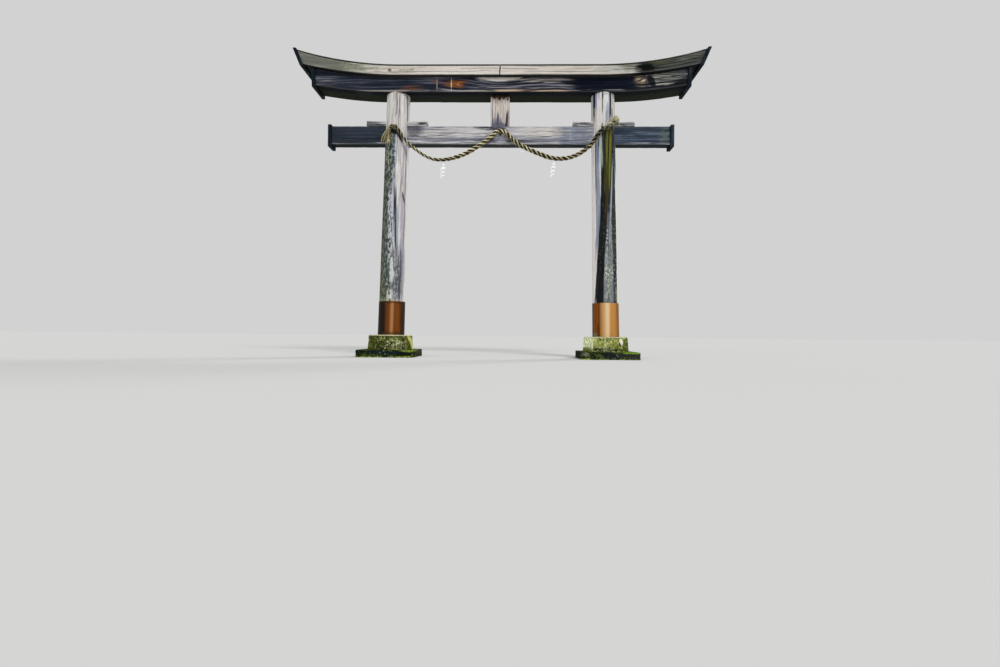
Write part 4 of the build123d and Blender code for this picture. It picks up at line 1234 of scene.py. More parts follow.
upperMarks = [
    # knot and smudges on the left half, darker towards the tip
    oval(-2.34, 6.072, 0.04, 0.034, (0.13, 0.11, 0.09), 0.9, 1.2),
    oval(-2.25, 6.02, 0.14, 0.012, (0.26, 0.24, 0.21), 0.7, 2.0, tilt=6),
    oval(-2.0, 6.068, 0.15, 0.024, (0.3, 0.31, 0.2), 0.7, 4.0, specks=0.45),
    oval(-1.86, 6.085, 0.035, 0.016, (0.2, 0.19, 0.15), 0.8, 2.0),
    strip(-3.75, 6.3, 0.85, 0.3, (0.085, 0.095, 0.072), 0.88, 2.4, tilt=8, soft=0.4),
    oval(-3.0, 6.12, 0.4, 0.1, (0.28, 0.29, 0.2), 0.6, 3.0, tilt=5, specks=0.46),
    # the joint in the middle, split and branching at the top
    oval(-0.004, 6.1, 0.014, 0.16, (0.025, 0.018, 0.012), 0.97, 1.2, tilt=3, soft=0.25),
    oval(-0.14, 6.2, 0.15, 0.01, (0.04, 0.03, 0.025), 0.9, 2.0, tilt=14),
    oval(-0.4, 6.225, 0.3, 0.01, (0.08, 0.07, 0.07), 0.8, 2.4),
    oval(0.14, 6.175, 0.13, 0.008, (0.06, 0.05, 0.045), 0.85, 2.0, tilt=4),
    oval(0.0, 6.22, 0.03, 0.02, (0.75, 0.72, 0.66), 0.8, 1.5),
    # greyer band along the top, and streaks of the right half
    strip(-1.3, 6.205, 1.2, 0.018, (0.38, 0.39, 0.41), 0.65, 1.5),
    oval(0.55, 6.15, 0.45, 0.009, (0.24, 0.21, 0.19), 0.7, 2.5),
    oval(1.55, 6.165, 0.55, 0.01, (0.16, 0.15, 0.14), 0.75, 2.5, tilt=1),
    oval(1.75, 6.1, 0.42, 0.01, (0.3, 0.27, 0.24), 0.6, 2.5, tilt=-1),
    oval(2.45, 6.13, 0.55, 0.12, (0.36, 0.37, 0.33), 0.7, 2.8, streaks=0.4),
    oval(2.7, 6.22, 0.4, 0.035, (0.25, 0.27, 0.12), 0.75, 2.5, tilt=-3),
    # the black-green end stretch, weathered dark and deepened by painted shade, the mossy edge beyond, the
    # weathered tip, and a painted tree shadow fully across the face before the end
    strip(3.88, 6.3, 0.93, 0.34, (0.02, 0.028, 0.028), 0.97, 1.4, tilt=-10, soft=0.25),
    oval(3.72, 6.21, 0.42, 0.05, (0.075, 0.078, 0.066), 0.85, 3.0, tilt=-10, streaks=0.42),
    oval(4.02, 6.36, 0.24, 0.06, (0.11, 0.115, 0.095), 0.85, 3.0, tilt=-13, streaks=0.42),
    oval(2.55, 6.235, 0.5, 0.065, (0.17, 0.19, 0.1), 0.75, 2.2, soft=0.8),
    oval(2.66, 6.19, 0.16, 0.1, (0.15, 0.165, 0.11), 0.7, 2.5, soft=0.8),
    oval(2.1, 6.19, 0.2, 0.018, (0.22, 0.23, 0.18), 0.7, 2.5),
    oval(2.84, 6.235, 0.14, 0.045, (0.012, 0.02, 0.012), 0.9, 2.2),
    oval(2.86, 6.22, 0.3, 0.13, (0.03, 0.04, 0.022), 0.85, 2.5, soft=0.9),
    strip(3.04, 6.15, 0.2, 0.34, (0.0012, 0.004, 0.0032), 1.0, 3.0, tilt=-7, soft=0.5),
    oval(3.33, 6.26, 0.16, 0.07, (0.06, 0.066, 0.03), 0.8, 2.5, soft=0.8),
    oval(3.4, 6.3, 0.22, 0.018, (0.14, 0.17, 0.04), 0.8, 2.5, tilt=-9),
]
upperMaterial = timberMaterial({
    "name": "upperLintelTimber", "grain": "x", "faceY": -0.34, "shares": (0.9, 1.0, 0.8), "fibreDark": 0.84,
    "split": 0.35, "splitFrom": 0.37,
    "tones": [(0.1, (0.3, 0.28, 0.25)), (0.35, (0.52, 0.485, 0.43)), (0.55, (0.63, 0.59, 0.53)),
              (0.9, (0.75, 0.71, 0.65))],
    # painted shade on the underside, near-black
    "under": ((0.006, 0.007, 0.01), (0.016, 0.018, 0.016)), "underFrom": -0.34, "underTo": 0.34,
    "bends": [bend(-2.34, 6.07, 0.22, 0.07, part=0.8), bend(1.6, 6.13, 0.6, 0.1, part=0.6)],
    "arrisStrength": 0.2, "arrisColour": (0.72, 0.68, 0.61),
    "marks": upperMarks,
})
for side in signs:
    makeUpperLintel(side, upperLook, upperMaterial)

# Cap boards of three planks and ridge boards along both slopes
capLook = {"spacing": 0.012, "grain": 0.2, "ripple": 0.002, "broad": 0.002, "arris": 0.003, "round": 0.004,
           "scatter": (5, 0.02, 0.98, (0.005, 0.008), (0.003, 0.006), (0.1, 0.4)), "wander": 0.004,
           "plankEdges": (0.236, 0.118), "plankGap": 0.002, "lean": 0.378, "seed": 601,
           "ridgeHalf": 0.07, "ridgeThick": 0.025, "ridgeSeed": 640}
capMaterial = timberMaterial({
    "name": "mossyCapTimber", "grain": "x",
    "tones": [(0.15, (0.01, 0.012, 0.011)), (0.45, (0.028, 0.032, 0.027)), (0.65, (0.07, 0.073, 0.058)),
              (0.9, (0.15, 0.15, 0.115))],
    "top": (0.062, 0.076, 0.034), "arrisStrength": 0.15, "arrisColour": (0.2, 0.2, 0.16),
    "lichen": {"from": 0.6, "strength": 0.5, "colour": (0.24, 0.25, 0.19), "scale": 12.0},
})


def slopeLift(y):
    return timbers["ridgeRise"] * (1 - abs(y) / (timbers["upperDeep"] / 2))


def capSkin(corners, sign, seed):
    def place(t, y, h):
        x = t * (timbers["upperEnd"] + timbers["upperLean"] + capLook["lean"] * h)
        return np.stack([sign * x, y, upperEdge(x) + h], axis=-1)

    along = np.linspace(upperLook["seam"], 1, 120)
    return crackedSkin(along, sectionRing(corners, capLook["round"]), place, capLook, seed)


def makeCapBoard(side, face, way, look):
    sign, thick = signs[side], timbers["capThick"]
    edges = [timbers["upperDeep"] / 2 + timbers["capOver"], *look["plankEdges"], 0.0]
    planks = []
    for number, (outer, inner) in enumerate(zip(edges, edges[1:])):
        y0, y1 = way * (outer - (look["plankGap"] if number else 0.0)), way * inner
        low0, low1 = slopeLift(y0), slopeLift(y1)
        corners = [(y0, low0), (y0, low0 + thick), (y1, low1 + thick), (y1, low1)]
        planks.append(capSkin(corners, sign, look["seed"] + number * 7 + (sign + 1) * 20 + (way + 1) * 50))
    board = makePiece(f"capBoard{side.capitalize()}{face.capitalize()}", *joinSkins(planks))
    return settle(board, f"cap_board_{side}_{face}", capMaterial)


def makeRidgeBoard(side, look):
    sign, half = signs[side], look["ridgeHalf"]
    seat = timbers["ridgeRise"] + timbers["capThick"]
    low, high = slopeLift(half) + timbers["capThick"], seat + look["ridgeThick"]
    corners = [(-half, low), (-half, high), (half, high), (half, low), (0.0, seat)]
    board = makePiece(f"ridgeBoard{side.capitalize()}", *capSkin(corners, sign, look["ridgeSeed"] + sign))
    return settle(board, f"ridge_board_{side}", capMaterial)


for side in signs:
    makeCapBoard(side, "front", -1, capLook)
    makeCapBoard(side, "back", 1, capLook)
    makeRidgeBoard(side, capLook)
print("upper lintel and caps made")

# Boards over the beam ends, grain upright, each a little larger than the end that it covers
endBoardLook = {"spacing": 0.01, "grain": 0.5, "ripple": 0.003, "broad": 0.002, "arris": 0.004,
                "round": 0.006, "cracks": 7, "crackSizes": ((0.005, 0.009), (0.004, 0.01), (0.15, 0.4)),
                "wander": 0.006, "thick": 0.078}
endMaterial = timberMaterial({
    "name": "endBoardTimber", "grain": "z",
    "tones": [(0.15, (0.002, 0.004, 0.006)), (0.5, (0.005, 0.01, 0.016)), (0.7, (0.013, 0.021, 0.031)),
              (0.95, (0.05, 0.064, 0.075))],
    "arrisStrength": 0.2, "arrisColour": (0.03, 0.042, 0.056),
    "lichen": {"from": 0.62, "strength": 0.5, "colour": (0.11, 0.13, 0.1), "scale": 11.0},
})


def makeEndBoard(beam, side, foot, head, halfDeep, seed):
    sign = signs[side]
    look = dict(endBoardLook, scatter=(endBoardLook["cracks"], foot[1], head[1], *endBoardLook["crackSizes"]))
    ring = boxRing(0.0, look["thick"], -halfDeep, halfDeep, look["round"])

    def place(z, a, b):
        share = (z - foot[1]) / (head[1] - foot[1])
        return np.stack([sign * (foot[0] + (head[0] - foot[0]) * share + a), b, z], axis=-1)

    return makeTimber(f"{beam}EndBoard{side.capitalize()}", f"{beam}_end_board_{side}", "end_timber",
                      endMaterial, np.linspace(foot[1], head[1], 46), ring, place, look, seed + sign)


# Foot and head of a leaning beam end, and its lean
def beamEnd(end, lean, under, above):
    footZ, headZ = float(under(end)), float(above(end + lean))
    return footZ, headZ, lean / (headZ - footZ)


for side in signs:
    end = timbers["tieEnd"]
    makeEndBoard("tie", side, (end, timbers["tieLow"] - 0.052), (end, timbers["tieHigh"] + 0.018), 0.155, 701)
    end, lean = timbers["lowerEnd"], timbers["lowerLean"]
    footZ, headZ, slope = beamEnd(end, lean, lowerUnder, upperUnder)
    makeEndBoard("lower", side, (end - slope * 0.045, footZ - 0.045), (end + lean, headZ - 0.001), 0.294, 711)
    end, lean = timbers["upperEnd"], timbers["upperLean"]
    footZ, headZ, slope = beamEnd(end, lean, upperUnder, upperEdge)
    makeEndBoard("upper", side, (end - slope * 0.045, footZ - 0.045),
                 (end + lean + slope * 0.04, headZ + 0.04), 0.382, 721)
print("end boards made")

# Strut between the tie beam and the lower lintel
strutLook = {"spacing": 0.009, "grain": 0.6, "ripple": 0.004, "broad": 0.004, "arris": 0.006, "round": 0.012,
             "scatter": (7, 4.99, 5.64, (0.006, 0.009), (0.006, 0.014), (0.2, 0.6)), "seed": 811,
             "halfWide": 0.21, "halfDeep": 0.092}
strutMaterial = timberMaterial({
    "name": "strutTimber", "grain": "z", "faceY": -0.09, "shares": (0.7, 0.8, 0.7), "split": 0.4,
    "speckScale": 26.0,
    "tones": [(0.1, (0.26, 0.24, 0.23)), (0.35, (0.5, 0.45, 0.41)), (0.55, (0.64, 0.58, 0.52)),
              (0.85, (0.74, 0.69, 0.62))],
    "marks": [
        # grey foot, thin pale facet at the left, dark flank at the lower right
        oval(-0.06, 5.02, 0.13, 0.17, (0.17, 0.16, 0.2), 0.9, 3.0),
        oval(-0.02, 4.99, 0.24, 0.09, (0.12, 0.12, 0.16), 0.9, 3.0),
        oval(-0.05, 5.13, 0.022, 0.17, (0.07, 0.07, 0.11), 0.85, 1.5),
        strip(-0.195, 5.2, 0.014, 0.45, (0.66, 0.63, 0.59), 0.7, 0.8),
        oval(-0.165, 5.15, 0.012, 0.36, (0.12, 0.11, 0.13), 0.8, 1.2),
        oval(0.15, 5.12, 0.03, 0.24, (0.025, 0.022, 0.035), 0.95, 1.5, tilt=4),
        oval(0.19, 5.15, 0.02, 0.22, (0.3, 0.26, 0.25), 0.8, 1.5),
        # dark red-brown along the top: the lintel's painted shadow, scalloped, with red-brown drips from the
        # lintel below it
        strip(0.0, 5.66, 0.4, 0.055, (0.03, 0.014, 0.012), 0.97, 1.5, soft=0.2),
        oval(-0.12, 5.62, 0.035, 0.055, (0.045, 0.016, 0.012), 0.95, 1.5),
        oval(-0.02, 5.6, 0.045, 0.05, (0.055, 0.018, 0.012), 0.95, 1.5),
        oval(0.08, 5.61, 0.035, 0.045, (0.065, 0.022, 0.014), 0.95, 1.5),
        oval(0.16, 5.58, 0.03, 0.045, (0.2, 0.08, 0.05), 0.8, 1.5),
        oval(-0.06, 5.5, 0.02, 0.11, (0.4, 0.24, 0.16), 0.6, 1.5),
    ],
})


def makeStrut(look, material):
    wide, deep = look["halfWide"], look["halfDeep"]
    ring = boxRing(-wide, wide, -deep, deep, look["round"])
    along = np.linspace(timbers["tieHigh"], timbers["undersideZ"], 60)
    front = 4 * deep + 2 * wide     # distance round the section to the front face
    own = [crack(front + 0.14, 5.0, 5.5, 0.01, 0.015), crack(front + 0.3, 5.1, 5.64, 0.01, 0.018)]
    return makeTimber("centreStrut", "centre_strut", "strut_timber", material, along, ring,
                      lambda z, a, b: np.stack([a, b, z], axis=-1), look, look["seed"], own)


makeStrut(strutLook, strutMaterial)

# Wedges over the tie beam, two at each post, taller at the head
wedgeLook = {"spacing": 0.009, "grain": 0.6, "ripple": 0.006, "broad": 0.004, "arris": 0.008, "round": 0.007,
             "cracks": 4, "crackSizes": ((0.006, 0.009), (0.006, 0.012), (0.2, 0.6)), "wander": 0.006,
             "endRelief": 0.006, "half": 0.11, "tall": 0.12, "taper": 0.02,
             "inner": (1.57567, 2.2206), "outer": (2.2407, 2.88565)}
wedgeMaterial = timberMaterial({
    "name": "wedgeTimber", "grain": "x", "faceY": -0.11, "shares": (1.2, 1.8, 1.2), "split": 0.8,
    "tones": [(0.1, (0.07, 0.07, 0.085)), (0.35, (0.26, 0.26, 0.28)), (0.55, (0.48, 0.47, 0.47)),
              (0.85, (0.7, 0.69, 0.67))],
    # painted shade on the undersides
    "under": ((0.01, 0.01, 0.014), (0.01, 0.01, 0.014)), "underFrom": -0.1, "underTo": 0.1,
    "arrisStrength": 0.5, "arrisColour": (0.62, 0.62, 0.6),
    "marks": [
        oval(-1.68, 5.045, 0.13, 0.02, (0.008, 0.008, 0.012), 0.97, 0.8),
        oval(-1.98, 5.035, 0.19, 0.055, (0.62, 0.61, 0.59), 0.85, 2.0),
        oval(-2.72, 5.0, 0.22, 0.045, (0.035, 0.042, 0.055), 0.9, 1.8),
        oval(1.75, 5.045, 0.2, 0.016, (0.045, 0.05, 0.07), 0.9, 1.8),
        oval(1.62, 5.0, 0.06, 0.02, (0.04, 0.04, 0.05), 0.85, 1.8),
        oval(2.7, 5.03, 0.24, 0.03, (0.08, 0.1, 0.11), 0.8, 2.5),
    ],
})


def makeWedge(side, which, look, seed):
    sign, half = signs[side], look["half"]
    start, end = look[which]
    head = start if which == "inner" else end
    look = dict(look, scatter=(look["cracks"], start, end, *look["crackSizes"]))
    ring = boxRing(-half, half, 0.0, half, look["round"])

    def place(x, y, h):
        tall = look["tall"] - look["taper"] * np.abs(x - head) / (end - start)
        return np.stack([sign * x, y, timbers["tieHigh"] + h / half * tall], axis=-1)

    own = [crack(0.035, start, start + 0.45, 0.009, 0.02), crack(0.075, end - 0.5, end, 0.009, 0.02)]
    along = np.linspace(start, end, 46)
    return makeTimber(f"wedge{side.capitalize()}{which.capitalize()}", f"wedge_{side}_{which}",
                      "wedge_timber", wedgeMaterial, along, ring, place, look, seed, own)


for number, (side, which) in enumerate((s, w) for s in signs for w in ("inner", "outer")):
    makeWedge(side, which, wedgeLook, 900 + number)
print("strut and wedges made")

# Peg under the rope's crest, narrower towards its rounded head
pegLook = {"radius": 0.0178, "sides": 18, "seed": 951,
           "sizes": [(0, 1.0), (0.4, 0.98), (0.86, 0.96), (0.92, 0.97), (0.98, 0.92), (1.0, 0.8)]}
pegMaterial = timberMaterial({
    "name": "pegTimber", "grain": "z", "arrisStrength": 0.15, "arrisColour": (0.12, 0.1, 0.08),
    "tones": [(0.15, (0.012, 0.011, 0.012)), (0.5, (0.035, 0.03, 0.026)), (0.85, (0.09, 0.075, 0.055))],
})


def makePeg(look, material):
    low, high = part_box("rope_peg")
    x, z = (low[0] + high[0]) / 2, (low[2] + high[2]) / 2
    start, end = np.array((x, high[1], z)), np.array((x, low[1], z))
    shares, sizes = np.array(look["sizes"]).T[..., None]
    line = start + (end - start) * shares
    side = unit(np.cross(end - start, (0, 0, 1.0)))
    worn = speckle(np.arange(look["sides"]) * 0.9, shares * 4, 0.5, look["seed"])
    rings = tubeRings(line, side + 0 * line, look["radius"] * sizes * (1 - 0.05 * (0.5 + 0.5 * worn)))
    skin = closedSkin(rings, {"grooveShade": 0 * worn, "arris": 0 * worn + 0.2})
    return settle(makePiece("ropePeg", *skin), "rope_peg", material)


makePeg(pegLook, pegMaterial)

# Copper sleeves round the posts' feet, lapped at a seam and nailed
sleeveLook = {"low": 0.47, "high": 1.19, "outer": 0.0034, "inner": 0.0006, "steps": 176, "rows": 40,
              "seam": 128, "lap": 0.09, "nailRadius": 0.005, "nailStep": 0.082, "nailTurn": 30}


def nailSkin(centre, out, along, radius):
    points = []
    for size, lift in ((1.0, 0.0), (0.85, 0.0012), (0.5, 0.002)):
        for turn in 2 * pi * np.arange(10) / 10:
            edge = along * cos(turn) + np.array((0, 0, 1)) * sin(turn)
            points.append(centre + out * lift + edge * radius * size)
    points.append(centre + out * 0.0023)
    faces = ringFaces(3, 10) + [(20 + j, 20 + (j + 1) % 10, 30) for j in range(10)] + [tuple(range(10))]
    return np.array(points), faces, {}


def makeSleeve(side, look, material):
    sign, steps = signs[side], look["steps"]
    seam = radians(look["seam"]) * sign
    heights = np.linspace(look["low"] + 0.001, look["high"] - 0.002, look["rows"])
    height, turn = np.meshgrid(heights, np.arange(steps) * 2 * pi / steps, indexing="ij")
    dents = 0.0022 * np.clip(layered(turn * 3 + 5, height * 4, 0.5, 61 + sign, 3), -0.2, 1)
    lapped = np.abs(roundGap(turn, seam, 2 * pi)) < look["lap"]
    shell = np.where(lapped, look["outer"], look["outer"] - 0.0008 - np.abs(dents) * 0.6)

    def onPost(offset):
        radius = postRadius(height) + offset
        x, y = sign * postX(height) + np.sin(turn) * radius, -np.cos(turn) * radius
        return np.stack([x, y, height], axis=-1)

    rings = np.concatenate([onPost(shell), onPost(look["inner"])[::-1]])
    last = (len(rings) - 1) * steps
    faces = ringFaces(len(rings), steps)
    faces += [(last + j, last + (j + 1) % steps, (j + 1) % steps, j) for j in range(steps)]
    skins = [(rings.reshape(-1, 3), faces, {})]
    nails = [(seam + 0.05, z) for z in np.arange(look["low"] + 0.05, look["high"], look["nailStep"])]
    turns = np.arange(0, 2 * pi, radians(look["nailTurn"]))
    nails += [(angle + 0.13, look["high"] - 0.022) for angle in turns]
    for angle, z in nails:
        out = np.array((sin(angle), -cos(angle), 0))
        along = np.array((cos(angle), sin(angle), 0))
        centre = np.array((sign * postX(z), 0, z)) + out * (postRadius(z) + look["outer"] - 0.0006)
        skins.append(nailSkin(centre, out, along, look["nailRadius"]))
    piece = makePiece(f"copperSleeve{side.capitalize()}", *joinSkins(skins), sharp=50)
    return settle(piece, f"copper_sleeve_{side}", material)


# A painted sheen or painted shade that runs the whole height of a sleeve, standing for reflections on the
# round copper
def sheen(x, wide, colour, strength, ragged, soft):
    return strip(x, 0.83, wide, 2.0, colour, strength, ragged, soft=soft)


leftCopper = copperMaterial({
    "name": "leftCopper", "side": -1,
    "tones": [(0.1, (0.06, 0.016, 0.003)), (0.5, (0.17, 0.05, 0.008)), (0.9, (0.28, 0.095, 0.018))],
    "marks": [
        # painted reflections: a dark left side, an orange highlight right of the front and a dark right side
        sheen(-0.34, 0.3, (0.012, 0.009, 0.006), 0.96, 0.3, 0.16),
        sheen(-0.02, 0.045, (0.19, 0.055, 0.012), 0.7, 0.3, 0.9),
        sheen(0.065, 0.034, (0.44, 0.22, 0.085), 0.85, 0.4, 0.9),
        sheen(0.115, 0.014, (0.15, 0.042, 0.008), 0.7, 0.4, 0.9),
        sheen(0.18, 0.05, (0.23, 0.07, 0.011), 0.6, 0.3, 0.9),
        sheen(0.42, 0.15, (0.022, 0.009, 0.004), 0.95, 0.3, 0.35),
        oval(0.1, 0.5, 0.3, 0.04, (0.05, 0.03, 0.012), 0.6, 2.0),
        oval(0.1, 1.17, 0.4, 0.03, (0.045, 0.022, 0.008), 0.6, 2.0),
    ],
})
rightCopper = copperMaterial({
    "name": "rightCopper", "side": 1,
    "tones": [(0.1, (0.22, 0.08, 0.01)), (0.5, (0.37, 0.15, 0.024)), (0.9, (0.52, 0.24, 0.055))],
    "marks": [
        # painted reflections: dark sides, a pale highlight just left of the front and orange bands between
        sheen(-0.42, 0.07, (0.05, 0.018, 0.004), 0.9, 0.3, 0.5),
        sheen(-0.27, 0.07, (0.28, 0.08, 0.006), 0.92, 0.3, 0.6),
        sheen(-0.185, 0.018, (0.12, 0.032, 0.003), 0.9, 0.3, 0.9),
        sheen(-0.1, 0.045, (0.58, 0.31, 0.12), 0.8, 0.3, 0.9),
        sheen(-0.02, 0.055, (0.82, 0.6, 0.34), 0.95, 0.4, 0.9),
        sheen(0.055, 0.012, (0.4, 0.18, 0.035), 0.6, 0.4, 0.9),
        sheen(0.13, 0.07, (0.66, 0.33, 0.09), 0.85, 0.3, 0.9),
        sheen(0.3, 0.06, (0.33, 0.13, 0.018), 0.85, 0.3, 0.9),
        sheen(0.42, 0.07, (0.08, 0.03, 0.006), 0.9, 0.3, 0.5),
        oval(-0.3, 0.5, 0.07, 0.06, (0.26, 0.27, 0.13), 0.8, 3.0),
        oval(-0.2, 0.6, 0.035, 0.14, (0.1, 0.035, 0.008), 0.7, 2.5),
        oval(0.06, 0.66, 0.01, 0.03, (0.45, 0.2, 0.05), 0.7, 1.5),
    ],
})
makeSleeve("left", sleeveLook, leftCopper)
makeSleeve("right", sleeveLook, rightCopper)
print("sleeves made")


# Stones: rings of a rough dressed block, worn inwards, closed by a rough top
def makeStone(name, node, material, corners, sign, look):
    low, high, roundTop = look["low"], look["high"], look["roundTop"]
    ring = sectionRing(corners, look["round"])
    a, b, outA, outB, _ = readRing(ring, np.arange(0, ring["length"], look["spacing"]))
    wall, lean = high - low - roundTop, look["batter"] / (high - low)
    # a row has its height, how far it lies in, and how much of the wear goes sideways and down
    rows = [(low + z, lean * z, 1.0, 0.0) for z in np.linspace(0, wall, look["rows"])]
    for angle in np.linspace(0, pi / 2, 8)[1:]:
        rise = sin(angle)
        inset = lean * wall + roundTop * (1 - cos(angle))
        rows.append((high - roundTop + roundTop * rise, inset, 1 - rise * 0.8, rise * 0.7))
    points = [np.stack([a - outA * inset, b - outB * inset, np.full(a.shape, z)], axis=-1)
              for z, inset, _, _ in rows]
    edge, reach = points[-1], min(np.hypot(a, b))
    for k in range(1, int((reach - roundTop - 0.05) / look["topStep"])):
        share = 1 - look["topStep"] * k / (reach + 0.1)
        points.append(edge * (share, share, 0) + (0, 0, high))
        rows.append((high, 0, 0.0, 0.7))
    points = np.array(points)
    sideways, down = np.array(rows).T[2:, :, None]
    places = np.moveaxis(points, 2, 0)
    rough = 0.5 + 0.5 * layered(*(places / 0.11), look["seed"] + sign, 4)
    pits = np.clip(layered(*(places / 0.035), look["seed"] + sign + 9, 2) - 0.25, 0, 1)
    sink = look["rough"] * rough + look["pits"] * pits
    points = points - np.stack([outA * sink * sideways, outB * sink * sideways, sink * down], axis=-1)
    points, faces, values = closedSkin(points, {}, steps=(0.5,))
    x, y, z = points.T
    angle = radians(look["turn"] * sign)
    turned = np.column_stack([x * cos(angle) - y * sin(angle) + sign * look["middleX"],
                              x * sin(angle) + y * cos(angle), np.maximum(z, low)])
    return settle(makePiece(name, turned, faces, values, sharp=50), node, material)


def eightCorners(half, cut):
    return [(-half + cut, -half), (half - cut, -half), (half, -half + cut), (half, half - cut),
            (half - cut, half), (-half + cut, half), (-half, half - cut), (-half, -half + cut)]


stoneLook = {"half": 0.48, "cut": 0.2, "turn": -12, "middleX": 2.33, "low": 0.16, "high": 0.47,
             "batter": 0.025, "roundTop": 0.04, "round": 0.02, "rough": 0.013, "pits": 0.016,
             "spacing": 0.014, "rows": 22, "topStep": 0.03, "seed": 1001}
slabLook = {"halfX": 0.605, "halfY": 0.56, "turn": 0, "middleX": 2.345, "low": 0.0, "high": 0.16,
            "batter": 0.004, "roundTop": 0.02, "round": 0.03, "rough": 0.016, "pits": 0.016,
            "spacing": 0.018, "rows": 11, "topStep": 0.035, "seed": 1101}
leftStone = stoneMaterial({
    "name": "leftBaseStone", "faceY": -0.47, "top": (0.5, 0.47, 0.25), "lichen": (0.5, 0.52, 0.26),
    "lichenStrength": 0.6,
    "tones": [(0.1, (0.008, 0.011, 0.002)), (0.36, (0.036, 0.044, 0.007)), (0.58, (0.095, 0.108, 0.02)),
              (0.78, (0.22, 0.24, 0.075)), (0.97, (0.46, 0.48, 0.25))],
    "marks": [
        oval(-2.78, 0.3, 0.2, 0.3, (0.1, 0.12, 0.012), 0.8, 2.0, y=-0.45),
        oval(-2.45, 0.3, 0.22, 0.12, (0.02, 0.024, 0.008), 0.85, 3.5, specks=0.45),
        oval(-2.3, 0.22, 0.45, 0.05, (0.025, 0.03, 0.01), 0.85, 3.5, specks=0.44),
        oval(-2.15, 0.28, 0.16, 0.09, (0.52, 0.54, 0.33), 0.85, 3.0, specks=0.5),
        strip(-2.36, 0.425, 0.5, 0.022, (0.045, 0.055, 0.014), 0.7, 2.5),
        strip(-1.845, 0.31, 0.026, 0.17, (0.56, 0.55, 0.17), 0.85, 2.8, y=-0.26, deep=0.35, tilt=-19),
        # painted highlight along the rounded top edge
        strip(-2.36, 0.462, 0.5, 0.012, (0.5, 0.48, 0.28), 0.7, 2.5),
    ],
})
rightStone = stoneMaterial({
    "name": "rightBaseStone", "faceY": -0.47, "top": (0.56, 0.55, 0.34), "lichen": (0.62, 0.66, 0.36),
    "lichenStrength": 0.8,
    "tones": [(0.1, (0.012, 0.016, 0.003)), (0.32, (0.06, 0.07, 0.01)), (0.52, (0.16, 0.18, 0.034)),
              (0.72, (0.33, 0.36, 0.12)), (0.95, (0.56, 0.58, 0.33))],
    "marks": [
        oval(2.25, 0.36, 0.34, 0.1, (0.34, 0.37, 0.1), 0.6, 3.0, specks=0.45),
        oval(2.25, 0.2, 0.4, 0.03, (0.018, 0.024, 0.006), 0.9, 3.5),
        oval(2.1, 0.22, 0.28, 0.05, (0.44, 0.48, 0.31), 0.6, 3.5, specks=0.51),
        oval(2.23, 0.36, 0.014, 0.1, (0.52, 0.56, 0.32), 0.85, 1.5),
        strip(1.9, 0.34, 0.085, 0.14, (0.86, 0.92, 0.56), 0.95, 1.8, y=-0.35, deep=0.25, tilt=4),
        oval(1.86, 0.2, 0.1, 0.045, (0.14, 0.18, 0.02), 0.85, 2.5, y=-0.33),
        oval(2.555, 0.36, 0.038, 0.07, (0.9, 0.88, 0.76), 0.97, 2.0, y=-0.45, deep=0.2, tilt=-16, soft=0.2),
        oval(2.53, 0.315, 0.02, 0.045, (0.008, 0.008, 0.005), 0.97, 1.2, deep=0.2, tilt=-16),
        oval(2.76, 0.3, 0.15, 0.22, (0.065, 0.08, 0.012), 0.85, 2.2, y=-0.35),
        oval(2.8, 0.42, 0.12, 0.04, (0.4, 0.44, 0.05), 0.8, 3.0, y=-0.35, specks=0.45),
    ],
})
slabStone = stoneMaterial({
    "name": "slabStone", "faceY": -0.56, "top": (0.06, 0.095, 0.012), "lichen": (0.18, 0.24, 0.06),
    "lichenStrength": 0.6,
    "tones": [(0.1, (0.001, 0.003, 0.001)), (0.48, (0.006, 0.012, 0.005)), (0.72, (0.022, 0.034, 0.013)),
              (0.95, (0.1, 0.125, 0.05))],
    "marks": [
        strip(2.0, 0.004, 3.0, 0.022, (0.26, 0.34, 0.035), 0.9, 3.4, specks=0.47),
        strip(-2.0, 0.004, 3.0, 0.022, (0.26, 0.34, 0.035), 0.9, 3.4, specks=0.47),
        oval(2.2, 0.07, 0.3, 0.06, (0.06, 0.095, 0.018), 0.75, 4.0, specks=0.5),
        oval(-2.5, 0.05, 0.4, 0.04, (0.065, 0.095, 0.018), 0.7, 4.0, specks=0.51),
        oval(1.8, 0.1, 0.08, 0.05, (0.16, 0.17, 0.12), 0.7, 3.0),
        oval(2.42, 0.09, 0.24, 0.08, (0.012, 0.014, 0.019), 0.92, 2.5),
        oval(2.74, 0.07, 0.22, 0.07, (0.024, 0.024, 0.024), 0.85, 3.0),
        oval(-2.35, 0.1, 0.3, 0.05, (0.008, 0.014, 0.018), 0.85, 3.0),
        oval(2.8, 0.155, 0.3, 0.03, (0.2, 0.36, 0.025), 0.92, 2.5, y=-0.4, deep=0.6),
        oval(-1.85, 0.15, 0.16, 0.03, (0.22, 0.3, 0.05), 0.85, 2.5, y=-0.45, deep=0.5),
    ],
})
stoneCorners = eightCorners(stoneLook["half"], stoneLook["cut"])
slabX, slabY = slabLook["halfX"], slabLook["halfY"]
slabCorners = [(-slabX, -slabY), (slabX, -slabY), (slabX, slabY), (-slabX, slabY)]
for side, material in (("left", leftStone), ("right", rightStone)):
    makeStone(f"baseStone{side.capitalize()}", f"base_stone_{side}", material,
              stoneCorners, signs[side], stoneLook)
    makeStone(f"groundSlab{side.capitalize()}", f"ground_slab_{side}", slabStone,
              slabCorners, signs[side], slabLook)
print("stones made")

